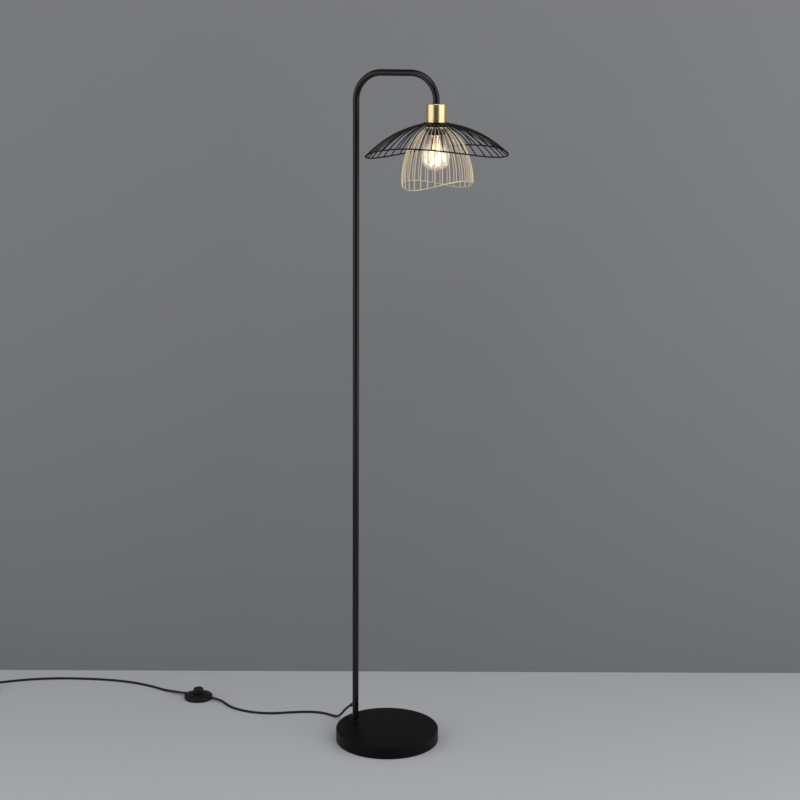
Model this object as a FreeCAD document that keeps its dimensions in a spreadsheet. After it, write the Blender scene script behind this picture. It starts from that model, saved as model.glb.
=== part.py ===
"""Wire cage floor lamp.

A weighted round base carries an off-centre pole of screwed tube sections. The
top section bends over twice and hangs a brass cup and lampholder over the
base. Two wire shades are clamped on the lampholder: a wide black one with a
wavy brim, and a narrow gold cage below it. A mains lead leaves the pole just
above the base and runs through a foot switch to its plug.

Millimetres. +Z is up, +X points from the pole towards the shades, and the
origin is on the floor under the middle of the base.
"""
import FreeCAD
import Part
import Sketcher

import math
import os
from enum import IntEnum

from FreeCAD import Placement, Rotation, Vector

document = FreeCAD.newDocument("WireCageFloorLamp")

# ---------------------------------------------------------------------------
# Driving sizes
# ---------------------------------------------------------------------------

SIZES = {
    # whole lamp
    "lamp_height": 1500.0,
    "pole_offset": 79.0,
    "arm_reach": 184.0,
    "fit_clearance": 0.05,
    # base
    "base_diameter": 232.0,
    "base_height": 30.0,
    "cover_wall": 1.5,
    "cover_edge_radius": 3.0,
    "cover_lift": 1.0,
    "pad_thickness": 3.0,
    "weight_gap": 0.5,
    "weight_plate": 12.0,
    "weight_rim_width": 10.0,
    "weight_boss_diameter": 36.0,
    # pole
    "tube_diameter": 14.0,
    "tube_wall": 1.0,
    "tube_chamfer": 0.6,
    "lower_tube_length": 387.0,
    "middle_tube_length": 430.0,
    "bend_radius": 58.0,
    "end_leg": 5.0,
    "nipple_diameter": 10.0,
    "nipple_bore": 7.0,
    "nipple_length": 24.0,
    "bush_length": 12.0,
    # pole foot
    "collar_diameter": 18.0,
    "collar_height": 3.0,
    "foot_insert_length": 18.0,
    "screw_diameter": 8.0,
    "screw_grip": 12.0,
    "screw_head_diameter": 13.0,
    "screw_head_height": 8.0,
    "socket_width": 6.0,
    "washer_diameter": 22.0,
    "washer_thickness": 1.5,
    "counterbore_diameter": 26.0,
    "counterbore_depth": 11.0,
    # cord exit on the pole
    "lead_diameter": 5.5,
    "exit_height": 74.0,
    "exit_azimuth": 140.0,
    "exit_slope": 30.0,
    "lead_bend": 12.0,
    "core_diameter": 1.8,
    "relief_neck_diameter": 8.5,
    "relief_collar_diameter": 10.0,
    "relief_tip_diameter": 7.4,
    "relief_start": 7.0,
    "relief_neck": 4.2,
    "relief_collar": 1.8,
    "relief_length": 15.0,
    "exit_run": 25.0,
    # cup and lampholder
    "cup_diameter": 43.5,
    "cup_height": 38.0,
    "cup_wall": 1.2,
    "cup_edge_bevel": 1.0,
    "holder_diameter": 38.0,
    "holder_cap_drop": 26.8,
    "holder_wall": 2.0,
    "holder_ledge_width": 2.0,
    "insert_thickness": 6.0,
    "holder_cap_flat": 24.0,
    "holder_cap_slope": 8.0,
    "shell_wall": 0.5,
    "shell_length": 24.0,
    "contact_drop": 2.2,
    "contact_thickness": 0.4,
    "contact_width": 4.0,
    "skirt_reach": 7.0,
    "ring_diameter": 44.6,
    "ring_height": 7.5,
    "ring_grips": 24.0,
    "holder_thread_length": 18.5,
    # black shade
    "hub_thickness": 2.0,
    "hub_diameter": 54.0,
    "shade_diameter": 300.0,
    "shade_depth": 62.3,
    "shade_wave": 11.1,
    "shade_wave_azimuth": 85.0,
    "shade_bow": 10.5,
    "shade_wires": 40.0,
    "shade_wire_diameter": 2.4,
    "shade_rim_diameter": 3.0,
    # gold cage
    "cage_hub_diameter": 52.0,
    "cage_diameter": 149.0,
    "cage_depth": 130.2,
    "cage_wave": 8.4,
    "cage_wave_azimuth": 156.0,
    "cage_shoulder_diameter": 130.0,
    "cage_shoulder_drop": 66.0,
    "cage_crown_bow": 6.0,
    "cage_wall_bow": 3.6,
    "cage_wires": 30.0,
    "cage_wire_diameter": 2.2,
    "cage_rim_diameter": 2.6,
    "shade_lean": 2.7,
    "shade_lean_azimuth": -30.0,
    "weld_bite": 0.3,
    "weld_gap": 0.7,
    # bulb
    "bulb_diameter": 60.0,
    "bulb_length": 105.0,
    "bulb_cap_diameter": 26.2,
    "bulb_cap_length": 25.0,
    "bulb_neck_diameter": 25.0,
    "bulb_glass_wall": 0.8,
    "bulb_neck_grip": 8.0,
    "bulb_gap": 0.3,
    "bulb_tip_diameter": 10.0,
    "stem_diameter": 6.0,
    "stem_length": 46.0,
    "filament_diameter": 1.8,
    "filament_length": 34.0,
    "filament_spread": 8.0,
    # foot switch
    "switch_x": -516.0,
    "switch_y": 44.0,
    "switch_diameter": 67.0,
    "switch_height": 13.0,
    "switch_wall": 2.0,
    "switch_seam": 3.2,
    "switch_side": 9.0,
    "switch_crown_diameter": 40.0,
    "switch_foot_height": 1.0,
    "switch_foot_diameter": 8.0,
    "switch_foot_circle": 48.0,
    "switch_lead_height": 6.8,
    "spout_diameter": 7.0,
    "spout_length": 4.0,
    "switch_screw_diameter": 3.0,
    "switch_screw_circle": 44.0,
    "switch_boss_diameter": 7.0,
    "button_diameter": 23.5,
    "button_height": 13.5,
    "button_gap": 0.4,
    "button_wall": 2.0,
    "button_flange": 1.8,
    "button_stem_diameter": 5.0,
    "button_travel": 4.0,
    "button_edge_bevel": 2.0,
    "switch_entry": 24.0,
    "switch_run": 35.0,
    "block_width": 12.0,
    "block_height": 6.0,
    "spring_diameter": 11.0,
    "spring_wire": 1.0,
    "spring_turns": 4.5,
    # coil and plug
    "coil_x": -1026.5,
    "coil_y": -134.6,
    "coil_azimuth": 137.0,
    "coil_height": 4.3,
    "floor_cord_height": 2.8,
    "coil_radius": 33.0,
    "coil_step": 6.1,
    "coil_run": 24.0,
    "tail_run": 20.0,
    "tie_width": 10.0,
    "tie_thickness": 1.0,
    "tie_shift": 3.0,
    "tie_inset": 9.9,
    "tie_outset": 3.4,
    "tie_clearance": 0.3,
    "plug_width": 35.0,
    "plug_thickness": 13.6,
    "plug_length": 38.0,
    "plug_pin_diameter": 4.0,
    "plug_pin_length": 19.0,
    "plug_pin_spacing": 18.2,
    "plug_taper": 9.0,
}

LEVELS = {
    # plan positions
    "pole_x": "-Sizes.pole_offset",
    "drop_x": "Sizes.arm_reach - Sizes.pole_offset",
    # radii
    "tube_radius": "Sizes.tube_diameter / 2",
    "tube_bore": "tube_radius - Sizes.tube_wall",
    "cover_radius": "Sizes.base_diameter / 2",
    "weight_radius": "cover_radius - Sizes.cover_wall - Sizes.weight_gap",
    "screw_clear": "Sizes.screw_diameter / 2 + 6 * Sizes.fit_clearance",
    "holder_radius": "Sizes.holder_diameter / 2",
    "holder_bore": "holder_radius - Sizes.holder_wall",
    "ledge_bore": "holder_bore - Sizes.holder_ledge_width",
    "shell_bore": "Sizes.bulb_cap_diameter / 2 + Sizes.bulb_gap",
    "hub_bore": "holder_radius + 2 * Sizes.fit_clearance",
    # heights, from the floor up
    "cover_inside": "Sizes.base_height - Sizes.cover_wall",
    "plate_top": "Sizes.pad_thickness + Sizes.weight_plate",
    "washer_top": "Sizes.pad_thickness + Sizes.counterbore_depth",
    "washer_bottom": "washer_top - Sizes.washer_thickness",
    "screw_bottom": "washer_bottom - Sizes.screw_head_height",
    "screw_top": "Sizes.base_height + Sizes.screw_grip",
    "joint_low": "Sizes.base_height + Sizes.lower_tube_length",
    "joint_middle": "joint_low + Sizes.middle_tube_length",
    "joint_high": "joint_middle + Sizes.middle_tube_length",
    "arm_axis": "Sizes.lamp_height - tube_radius",
    "bend_start": "arm_axis - Sizes.bend_radius",
    # the head, from the cup down
    "cup_top": "bend_start - Sizes.end_leg",
    "cup_bottom": "cup_top - Sizes.cup_height",
    "holder_top": "cup_top - Sizes.cup_wall",
    "holder_split": "holder_top - Sizes.holder_cap_drop",
    "insert_bottom": "holder_split - Sizes.insert_thickness",
    "hub_bottom": "cup_bottom - Sizes.hub_thickness",
    "cage_hub_top": "hub_bottom - Sizes.ring_height",
    "cage_hub_bottom": "cage_hub_top - Sizes.hub_thickness",
    "ring_bottom": "cage_hub_bottom - Sizes.ring_height",
    "skirt_bottom": "ring_bottom - Sizes.skirt_reach",
    "bulb_top": "insert_bottom - Sizes.contact_drop - Sizes.bulb_gap",
    "bulb_bottom": "bulb_top - Sizes.bulb_length",
    "bulb_cap_bottom": "bulb_top - Sizes.bulb_cap_length",
    # the foot switch
    "button_top": "Sizes.switch_height + Sizes.button_height",
    "button_ceiling": "button_top - Sizes.button_wall",
    "switch_ceiling": "Sizes.switch_height - Sizes.switch_wall",
    "flange_top": "switch_ceiling - Sizes.button_gap",
    "block_top": "Sizes.switch_seam + Sizes.block_height",
}


def make_sheet(name, cells, formula_mark=""):
    """A sheet with one named cell a row."""
    sheet = document.addObject("Spreadsheet::Sheet", name)
    for row, (alias, content) in enumerate(cells.items(), start=1):
        sheet.set(f"A{row}", alias)
        sheet.set(f"B{row}", f"{formula_mark}{content}")
        sheet.setAlias(f"B{row}", alias)
    return sheet


sizes = make_sheet("Sizes", SIZES)
document.recompute()
levels = make_sheet("Levels", LEVELS, formula_mark="=")
document.recompute()


def size(alias):
    """A driving size as a number."""
    return float(sizes.get(alias))


def level(alias):
    """A derived radius, place or height as a number."""
    return float(levels.get(alias))


# ---------------------------------------------------------------------------
# Helpers for solids of revolution, pads and cylinders
# ---------------------------------------------------------------------------

nodes = []


class Mark(IntEnum):
    """Numbers that a sketch gives to the points of an edge."""

    START = 1
    END = 2
    CENTRE = 3


class Datum(IntEnum):
    """Numbers that a sketch gives to its own origin and axes."""

    ORIGIN = -1
    H_AXIS = -1
    V_AXIS = -2


def keep(thing, label):
    """Name a finished sub-part and list it for writing."""
    thing.Label = label
    nodes.append(thing)
    return thing


def place(thing, x="0", y="0", z="0"):
    """Bind the place of a sub-part to expressions."""
    for axis, expression in (("x", x), ("y", y), ("z", z)):
        if expression != "0":
            thing.setExpression(f"Placement.Base.{axis}", expression)


def add_sketch(body, plane, height="0"):
    """A sketch on one of the body's own origin planes, lifted by height."""
    sketch = body.newObject("Sketcher::SketchObject", "Sketch")
    plane_object = next(o for o in body.Origin.OriginFeatures if o.Role == plane)
    sketch.AttachmentSupport = [(plane_object, "")]
    sketch.MapMode = "FlatFace"
    if height != "0":
        sketch.setExpression("AttachmentOffset.Base.z", height)
    return sketch


def fix_point(sketch, geometry, point, x, y):
    """Hold a sketch point at the expressions x and y, neither of them negative."""
    spot = sketch.getPoint(geometry, point)
    if x == "0":
        sketch.addConstraint(Sketcher.Constraint("PointOnObject", geometry, point, Datum.V_AXIS))
    else:
        number = sketch.addConstraint(Sketcher.Constraint("DistanceX", Datum.ORIGIN, Mark.START, geometry, point, spot.x))
        sketch.setExpression(f"Constraints[{number}]", x)
    if y == "0":
        sketch.addConstraint(Sketcher.Constraint("PointOnObject", geometry, point, Datum.H_AXIS))
    else:
        number = sketch.addConstraint(Sketcher.Constraint("DistanceY", Datum.ORIGIN, Mark.START, geometry, point, spot.y))
        sketch.setExpression(f"Constraints[{number}]", y)


def draw_outline(sketch, corners):
    """A closed outline through corners, each an (x, y) pair of expressions."""
    count = len(corners)
    guess_middle, guess_reach = Vector(50, 50), 40
    guess = []
    for k in range(count):
        angle = 2 * math.pi * k / count
        guess.append(guess_middle + Vector(math.cos(angle), math.sin(angle)) * guess_reach)
    for k in range(count):
        sketch.addGeometry(Part.LineSegment(guess[k], guess[(k + 1) % count]), False)
    for k in range(count):
        sketch.addConstraint(Sketcher.Constraint("Coincident", k, Mark.END, (k + 1) % count, Mark.START))
    for k, (x, y) in enumerate(corners):
        fix_point(sketch, k, Mark.START, x, y)


def draw_circle(sketch, radius, behind="0"):
    """A circle of the given radius, its centre a distance behind the origin along X."""
    number = sketch.addGeometry(Part.Circle(Vector(-1, 0, 0), Vector(0, 0, 1), 5), False)
    bound = sketch.addConstraint(Sketcher.Constraint("Radius", number, 5.0))
    sketch.setExpression(f"Constraints[{bound}]", radius)
    sketch.addConstraint(Sketcher.Constraint("PointOnObject", number, Mark.CENTRE, Datum.H_AXIS))
    if behind == "0":
        sketch.addConstraint(Sketcher.Constraint("PointOnObject", number, Mark.CENTRE, Datum.V_AXIS))
    else:
        bound = sketch.addConstraint(Sketcher.Constraint("DistanceX", number, Mark.CENTRE, Datum.ORIGIN, Mark.START, 1.0))
        sketch.setExpression(f"Constraints[{bound}]", behind)


def turned(name, corners, x="0", y="0", z="0"):
    """A body turned about its vertical axis; corners are (radius, height) pairs."""
    body = document.addObject("PartDesign::Body", name)
    sketch = add_sketch(body, "XZ_Plane")
    draw_outline(sketch, corners)
    turn = body.newObject("PartDesign::Revolution", "Revolution")
    turn.Profile = sketch
    turn.ReferenceAxis = (sketch, ["V_Axis"])
    turn.Angle = 360
    sketch.Visibility = False
    place(body, x, y, z)
    return body


def pad_circle(body, radius, low, length, behind="0"):
    """Add a round boss to a body."""
    sketch = add_sketch(body, "XY_Plane", low)
    draw_circle(sketch, radius, behind)
    pad = body.newObject("PartDesign::Pad", "Pad")
    pad.Profile = sketch
    pad.setExpression("Length", length)


def drill(body, radius, low, depth, behind="0"):
    """Sink a round pocket upwards from low into a body and check that it cut."""
    document.recompute()
    before = body.Shape.Volume
    sketch = add_sketch(body, "XY_Plane", low)
    draw_circle(sketch, radius, behind)
    pocket = body.newObject("PartDesign::Pocket", "Pocket")
    pocket.Profile = sketch
    pocket.Reversed = True
    pocket.setExpression("Length", depth)
    document.recompute()
    assert body.Shape.Volume < before, f"{body.Name}: the pocket cut nothing"


def edge_names(shape, radius, height):
    """Names of the circular edges of a radius at a height, about the shape's own axis."""
    names = []
    for number, edge in enumerate(shape.Edges, start=1):
        if not isinstance(edge.Curve, Part.Circle):
            continue
        same_radius = abs(edge.Curve.Radius - radius) < 1e-4
        if same_radius and abs(edge.Curve.Center.z - height) < 1e-4:
            names.append(f"Edge{number}")
    return names


def round_edge(body, radius, height, fillet):
    """Round one circular edge of a body by the size named fillet."""
    document.recompute()
    base = body.Tip
    fillet_feature = body.newObject("PartDesign::Fillet", "Fillet")
    fillet_feature.Base = (base, edge_names(base.Shape, radius, height))
    fillet_feature.setExpression("Radius", fillet)


def bevel_edge(body, radius, height, width):
    """Bevel one circular edge of a body by the size named width."""
    document.recompute()
    base = body.Tip
    bevel = body.newObject("PartDesign::Chamfer", "Bevel")
    bevel.Base = (base, edge_names(base.Shape, radius, height))
    bevel.setExpression("Size", width)


def rod(name, radius, length, x="0", y="0", z="0", turn=None):
    """A plain cylinder bound to expressions, turned away from upright if asked."""
    cylinder = document.addObject("Part::Cylinder", name)
    cylinder.setExpression("Radius", radius)
    cylinder.setExpression("Height", length)
    if turn is not None:
        cylinder.Placement = Placement(Vector(), turn)
    place(cylinder, x, y, z)
    return cylinder


def box(name, length, width, height, x="0", y="0", z="0"):
    """A box centred on x and y and standing on z."""
    block = document.addObject("Part::Box", name)
    block.setExpression("Length", length)
    block.setExpression("Width", width)
    block.setExpression("Height", height)
    place(block, f"{x} - ({length}) / 2", f"{y} - ({width}) / 2", z)
    return block


def tube(name, inner, outer, length, x="0", y="0", z="0"):
    """A plain sleeve standing on z."""
    return cut(name, rod(f"{name}Outside", outer, length, x, y, z), rod(f"{name}Bore", inner, length, x, y, z))


def cut(name, base, tool):
    """One solid with another taken away."""
    result = document.addObject("Part::Cut", name)
    result.Base = base
    result.Tool = tool
    return result


def fuse(name, parts):
    """Several solids joined into one."""
    result = document.addObject("Part::MultiFuse", name)
    result.Shapes = parts
    return result


def group(name, parts):
    """Identical pieces kept together as separate solids."""
    result = document.addObject("Part::Compound", name)
    result.Links = parts
    return result


def formed(name, shape):
    """A piece whose shape is worked out from the sheet's values."""
    feature = document.addObject("Part::Feature", name)
    feature.Shape = shape
    feature.Placement = Placement()
    return feature


# ---------------------------------------------------------------------------
# Helpers for wires and cords
# ---------------------------------------------------------------------------

def section(centre, direction, sideways, radius, sides):
    """A polygon across a wire, its first corner turned towards sideways."""
    side = sideways - direction * sideways.dot(direction)
    side.normalize()
    other = direction.cross(side)
    corners = [
        centre + side * (radius * math.cos(2 * math.pi * (k + 0.5) / sides))
        + other * (radius * math.sin(2 * math.pi * (k + 0.5) / sides))
        for k in range(sides)
    ]
    return Part.makePolygon(corners + [corners[0]])


def unit(vector):
    """A vector of length one."""
    result = Vector(vector)
    result.normalize()
    return result


def wire_along(points, radius, sides, sideways=None):
    """A straight-faced wire through points, mitred where it turns."""
    sections = []
    for k, point in enumerate(points):
        before = unit(point - points[k - 1]) if k > 0 else unit(points[1] - point)
        after = unit(points[k + 1] - point) if k < len(points) - 1 else before
        direction = unit(before + after)
        side = sideways if sideways is not None else Vector(0, 0, 1)
        sections.append(section(point, direction, side, radius, sides))
    return Part.makeLoft(sections, True, True)


def closed_wire(points, radius, sides):
    """A straight-faced closed ring through points."""
    count = len(points)
    sections = []
    for k, point in enumerate(points):
        direction = unit(points[(k + 1) % count] - points[k - 1])
        sections.append(section(point, direction, Vector(0, 0, 1), radius, sides))
    faces = []
    for k in range(count):
        first, second = sections[k], sections[(k + 1) % count]
        for edge_a, edge_b in zip(first.Edges, second.Edges):
            faces.append(Part.makeRuledSurface(edge_a, edge_b))
    shell = Part.makeShell(faces)
    shell.sewShape()
    solid = Part.makeSolid(shell)
    if solid.Volume < 0:
        solid.reverse()
    return solid


def bowed(start, end, bow, steps):
    """Points on a circular arc from start to end that rises by bow above its chord."""
    chord = end - start
    half = chord.Length / 2
    across = unit(chord)
    up = unit(Vector(0, 0, 1) - across * across.z)
    radius = (half * half + bow * bow) / (2 * bow)
    turn = math.asin(half / radius)
    centre = (start + end) * 0.5 - up * (radius - bow)
    points = []
    for k in range(steps + 1):
        angle = turn * (2 * k / steps - 1)
        points.append(centre + across * (radius * math.sin(angle)) + up * (radius * math.cos(angle)))
    return points


CORNER_SHARE = 0.45


def corner_radius(before, corner, after):
    """The arc that a cord takes round a corner of its route, and half its turn."""
    first, second = corner - before, after - corner
    half_turn = first.getAngle(second) / 2
    return CORNER_SHARE * min(first.Length, second.Length) / math.tan(half_turn), half_turn


def cord_path(points, radii=None):
    """Straight runs joined by tangent arcs, and the arcs' radii."""
    edges, used = [], []
    reached = points[0]
    for k in range(1, len(points) - 1):
        corner = points[k]
        radius, half_turn = corner_radius(points[k - 1], corner, points[k + 1])
        if radii is not None:
            radius = radii[k - 1]
        back = unit(points[k - 1] - corner)
        ahead = unit(points[k + 1] - corner)
        tangent = radius * math.tan(half_turn)
        enter, leave = corner + back * tangent, corner + ahead * tangent
        middle = corner + unit(back + ahead) * (radius / math.cos(half_turn) - radius)
        edges.append(Part.LineSegment(reached, enter).toShape())
        edges.append(Part.Arc(enter, middle, leave).toShape())
        reached = leave
        used.append(radius)
    edges.append(Part.LineSegment(reached, points[-1]).toShape())
    return Part.Wire(edges), used


CORD_SIDES = 6


def sweep(path, radius):
    """A solid flat-sided cord along a path."""
    first = path.Edges[0]
    start = first.valueAt(first.FirstParameter)
    direction = unit(first.tangentAt(first.FirstParameter))
    upright = abs(direction.z) > math.cos(math.pi / CORD_SIDES)
    sideways = Vector(0, 1, 0) if upright else Vector(0, 0, 1)
    profile = section(start, direction, sideways, radius, CORD_SIDES)
    return path.makePipeShell([profile], True, False)


def report_cord(name, path, shape, radius, radii=()):
    """Print a cord's length and bends, and compare its volume with section times length."""
    area = CORD_SIDES / 2 * math.sin(2 * math.pi / CORD_SIDES) * radius ** 2
    bends = " ".join(f"{value:.0f}" for value in radii)
    print(f"{name}: length {path.Length:.0f} mm, volume ratio {shape.Volume / area / path.Length:.4f}, "
          f"bend radii {bends}")


# ---------------------------------------------------------------------------
# Base
# ---------------------------------------------------------------------------

SOCKET_SIDES = 6
COLLAR_SIDES = 32

cover = turned("BaseCover", [
    ("0", "Levels.cover_inside"),
    ("Levels.cover_radius - Sizes.cover_wall", "Levels.cover_inside"),
    ("Levels.cover_radius - Sizes.cover_wall", "Sizes.cover_lift"),
    ("Levels.cover_radius", "Sizes.cover_lift"),
    ("Levels.cover_radius", "Sizes.base_height"),
    ("0", "Sizes.base_height"),
])
round_edge(cover, level("cover_radius"), size("base_height"), "Sizes.cover_edge_radius")
drill(cover, "Levels.screw_clear", "Levels.cover_inside", "Sizes.cover_wall", "Sizes.pole_offset")
keep(cover, "base_cover")

weight = turned("BaseWeight", [
    ("0", "Sizes.pad_thickness"),
    ("Levels.weight_radius", "Sizes.pad_thickness"),
    ("Levels.weight_radius", "Levels.cover_inside"),
    ("Levels.weight_radius - Sizes.weight_rim_width", "Levels.cover_inside"),
    ("Levels.weight_radius - Sizes.weight_rim_width", "Levels.plate_top"),
    ("0", "Levels.plate_top"),
])
pad_circle(weight, "Sizes.weight_boss_diameter / 2", "Levels.plate_top",
           "Levels.cover_inside - Levels.plate_top", "Sizes.pole_offset")
drill(weight, "Levels.screw_clear", "Sizes.pad_thickness",
      "Levels.cover_inside - Sizes.pad_thickness", "Sizes.pole_offset")
drill(weight, "Sizes.counterbore_diameter / 2", "Sizes.pad_thickness",
      "Sizes.counterbore_depth", "Sizes.pole_offset")
keep(weight, "base_weight")

pad = turned("BasePad", [
    ("0", "0"),
    ("Levels.weight_radius", "0"),
    ("Levels.weight_radius", "Sizes.pad_thickness"),
    ("0", "Sizes.pad_thickness"),
])
drill(pad, "Sizes.counterbore_diameter / 2", "0", "Sizes.pad_thickness", "Sizes.pole_offset")
keep(pad, "base_pad")

screw_head = rod("ScrewHead", "Sizes.screw_head_diameter / 2", "Sizes.screw_head_height",
                 "Levels.pole_x", z="Levels.screw_bottom")
screw_shank = rod("ScrewShank", "Sizes.screw_diameter / 2", "Levels.screw_top - Levels.washer_bottom",
                  "Levels.pole_x", z="Levels.washer_bottom")
screw_socket = document.addObject("Part::Prism", "ScrewSocket")
screw_socket.Polygon = SOCKET_SIDES
screw_socket.setExpression("Circumradius", "Sizes.socket_width / 2 / cos(30)")
screw_socket.setExpression("Height", "Sizes.screw_head_height / 2")
place(screw_socket, "Levels.pole_x", z="Levels.screw_bottom")
keep(cut("BaseScrew", fuse("ScrewBlank", [screw_head, screw_shank]), screw_socket), "base_screw")

washer_disc = document.addObject("Part::Prism", "WasherDisc")
washer_disc.Polygon = COLLAR_SIDES
washer_disc.setExpression("Circumradius", "Sizes.washer_diameter / 2")
washer_disc.setExpression("Height", "Sizes.washer_thickness")
place(washer_disc, "Levels.pole_x", z="Levels.washer_bottom")
washer_hole = rod("WasherHole", "Levels.screw_clear", "Sizes.washer_thickness",
                  "Levels.pole_x", z="Levels.washer_bottom")
keep(cut("BaseWasher", washer_disc, washer_hole), "base_washer")

# ---------------------------------------------------------------------------
# Pole
# ---------------------------------------------------------------------------


def pole_tube(name, low, length):
    """A straight tube section with its two outer edges chamfered."""
    sleeve = tube(f"{name}Sleeve", "Levels.tube_bore", "Levels.tube_radius", length, "Levels.pole_x", z=low)
    document.recompute()
    chamfer = document.addObject("Part::Chamfer", name)
    chamfer.Base = sleeve
    width = size("tube_chamfer")
    chamfer.Edges = [
        (number, width, width)
        for number, edge in enumerate(sleeve.Shape.Edges, start=1)
        if isinstance(edge.Curve, Part.Circle) and abs(edge.Curve.Radius - level("tube_radius")) < 1e-4
    ]
    return chamfer


slope = math.radians(size("exit_slope"))
azimuth = math.radians(size("exit_azimuth"))
exit_way = Vector(math.cos(slope) * math.cos(azimuth), math.cos(slope) * math.sin(azimuth), -math.sin(slope))
exit_origin = Vector(level("pole_x"), 0, size("exit_height"))
exit_turn = Rotation(Vector(0, 0, 1), exit_way)

lower_tube = pole_tube("LowerTube", "Sizes.base_height", "Sizes.lower_tube_length")
exit_hole = rod("ExitHole", "Sizes.relief_neck_diameter / 2 + Sizes.fit_clearance", "Sizes.tube_diameter",
                "Levels.pole_x", z="Sizes.exit_height", turn=exit_turn)
keep(cut("LowerTubeDrilled", lower_tube, exit_hole), "lower_tube")
keep(pole_tube("MiddleTubeLow", "Levels.joint_low", "Sizes.middle_tube_length"), "middle_tube_low")
keep(pole_tube("MiddleTubeHigh", "Levels.joint_middle", "Sizes.middle_tube_length"), "middle_tube_high")

upper = document.addObject("PartDesign::Body", "UpperTube")
spine = add_sketch(upper, "XZ_Plane")
SPINE_POINTS = [
    ("0", "Levels.joint_high"),
    ("0", "Levels.bend_start"),
    ("Sizes.bend_radius", "Levels.arm_axis"),
    ("Sizes.arm_reach - Sizes.bend_radius", "Levels.arm_axis"),
    ("Sizes.arm_reach", "Levels.bend_start"),
    ("Sizes.arm_reach", "Levels.cup_top"),
]
bend = size("bend_radius")
reach = size("arm_reach")
spots = [
    Vector(0, level("joint_high")),
    Vector(0, level("bend_start")),
    Vector(bend, level("arm_axis")),
    Vector(reach - bend, level("arm_axis")),
    Vector(reach, level("bend_start")),
    Vector(reach, level("cup_top")),
]
first_middle = Vector(bend * (1 - math.sqrt(0.5)), level("bend_start") + bend * math.sqrt(0.5))
second_middle = Vector(reach - first_middle.x, first_middle.y)
spine.addGeometry(Part.LineSegment(spots[0], spots[1]), False)
spine.addGeometry(Part.Arc(spots[2], first_middle, spots[1]), False)
spine.addGeometry(Part.LineSegment(spots[2], spots[3]), False)
spine.addGeometry(Part.Arc(spots[4], second_middle, spots[3]), False)
spine.addGeometry(Part.LineSegment(spots[4], spots[5]), False)
spine.addConstraint(Sketcher.Constraint("Coincident", 0, Mark.END, 1, Mark.END))
spine.addConstraint(Sketcher.Constraint("Coincident", 1, Mark.START, 2, Mark.START))
spine.addConstraint(Sketcher.Constraint("Coincident", 2, Mark.END, 3, Mark.END))
spine.addConstraint(Sketcher.Constraint("Coincident", 3, Mark.START, 4, Mark.START))
for line, point, (x_place, z_place) in zip((0, 0, 2, 2, 4, 4), (Mark.START, Mark.END) * 3, SPINE_POINTS):
    fix_point(spine, line, point, x_place, z_place)
for arc in (1, 3):
    bound = spine.addConstraint(Sketcher.Constraint("Radius", arc, bend))
    spine.setExpression(f"Constraints[{bound}]", "Sizes.bend_radius")
wall = add_sketch(upper, "XY_Plane", "Levels.joint_high")
draw_circle(wall, "Levels.tube_radius")
draw_circle(wall, "Levels.tube_bore")
bent = upper.newObject("PartDesign::AdditivePipe", "Pipe")
bent.Profile = wall
bent.Spine = spine
place(upper, "Levels.pole_x")
keep(upper, "upper_tube")

collar = document.addObject("Part::Prism", "PoleCollarDisc")
collar.Polygon = COLLAR_SIDES
collar.setExpression("Circumradius", "Sizes.collar_diameter / 2")
collar.setExpression("Height", "Sizes.collar_height")
place(collar, "Levels.pole_x", z="Sizes.base_height")
collar_bore = rod("PoleCollarBore", "Levels.tube_radius + Sizes.fit_clearance", "Sizes.collar_height",
                  "Levels.pole_x", z="Sizes.base_height")
keep(cut("PoleCollar", collar, collar_bore), "pole_collar")

bush_outside = "Levels.tube_bore - Sizes.fit_clearance"
bush_bore = "Sizes.nipple_diameter / 2 + Sizes.fit_clearance"
bushes = [
    tube("FootBush", "Sizes.screw_diameter / 2 + Sizes.fit_clearance", bush_outside,
         "Sizes.foot_insert_length", "Levels.pole_x", z="Sizes.base_height"),
    tube("HeadBush", bush_bore, bush_outside, "Sizes.end_leg", "Levels.drop_x", z="Levels.cup_top"),
]
nipples = [
    tube("HeadNipple", "Sizes.nipple_bore / 2", "Sizes.nipple_diameter / 2", "Sizes.holder_thread_length",
         "Levels.drop_x", z="Levels.bend_start - Sizes.holder_thread_length"),
]
for joint in ("joint_low", "joint_middle", "joint_high"):
    bushes.append(tube(f"{joint}_bush_below", bush_bore, bush_outside, "Sizes.bush_length",
                       "Levels.pole_x", z=f"Levels.{joint} - Sizes.bush_length"))
    bushes.append(tube(f"{joint}_bush_above", bush_bore, bush_outside, "Sizes.bush_length",
                       "Levels.pole_x", z=f"Levels.{joint}"))
    nipples.append(tube(f"{joint}_nipple", "Sizes.nipple_bore / 2", "Sizes.nipple_diameter / 2",
                        "Sizes.nipple_length", "Levels.pole_x",
                        z=f"Levels.{joint} - Sizes.nipple_length / 2"))
keep(group("TubeBushes", bushes), "tube_bushes")
keep(group("ThreadedNipples", nipples), "threaded_nipples")

relief = turned("CordRelief", [
    ("Sizes.lead_diameter / 2 + Sizes.fit_clearance", "Sizes.relief_start"),
    ("Sizes.relief_neck_diameter / 2", "Sizes.relief_start"),
    ("Sizes.relief_neck_diameter / 2", "Sizes.relief_start + Sizes.relief_neck"),
    ("Sizes.relief_collar_diameter / 2", "Sizes.relief_start + Sizes.relief_neck"),
    ("Sizes.relief_collar_diameter / 2", "Sizes.relief_start + Sizes.relief_neck + Sizes.relief_collar"),
    ("Sizes.relief_tip_diameter / 2",
     "Sizes.relief_start + Sizes.relief_neck + Sizes.relief_collar + Sizes.relief_length"),
    ("Sizes.lead_diameter / 2 + Sizes.fit_clearance",
     "Sizes.relief_start + Sizes.relief_neck + Sizes.relief_collar + Sizes.relief_length"),
])
relief.Placement = Placement(exit_origin, exit_turn)
keep(relief, "cord_relief")

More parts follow.
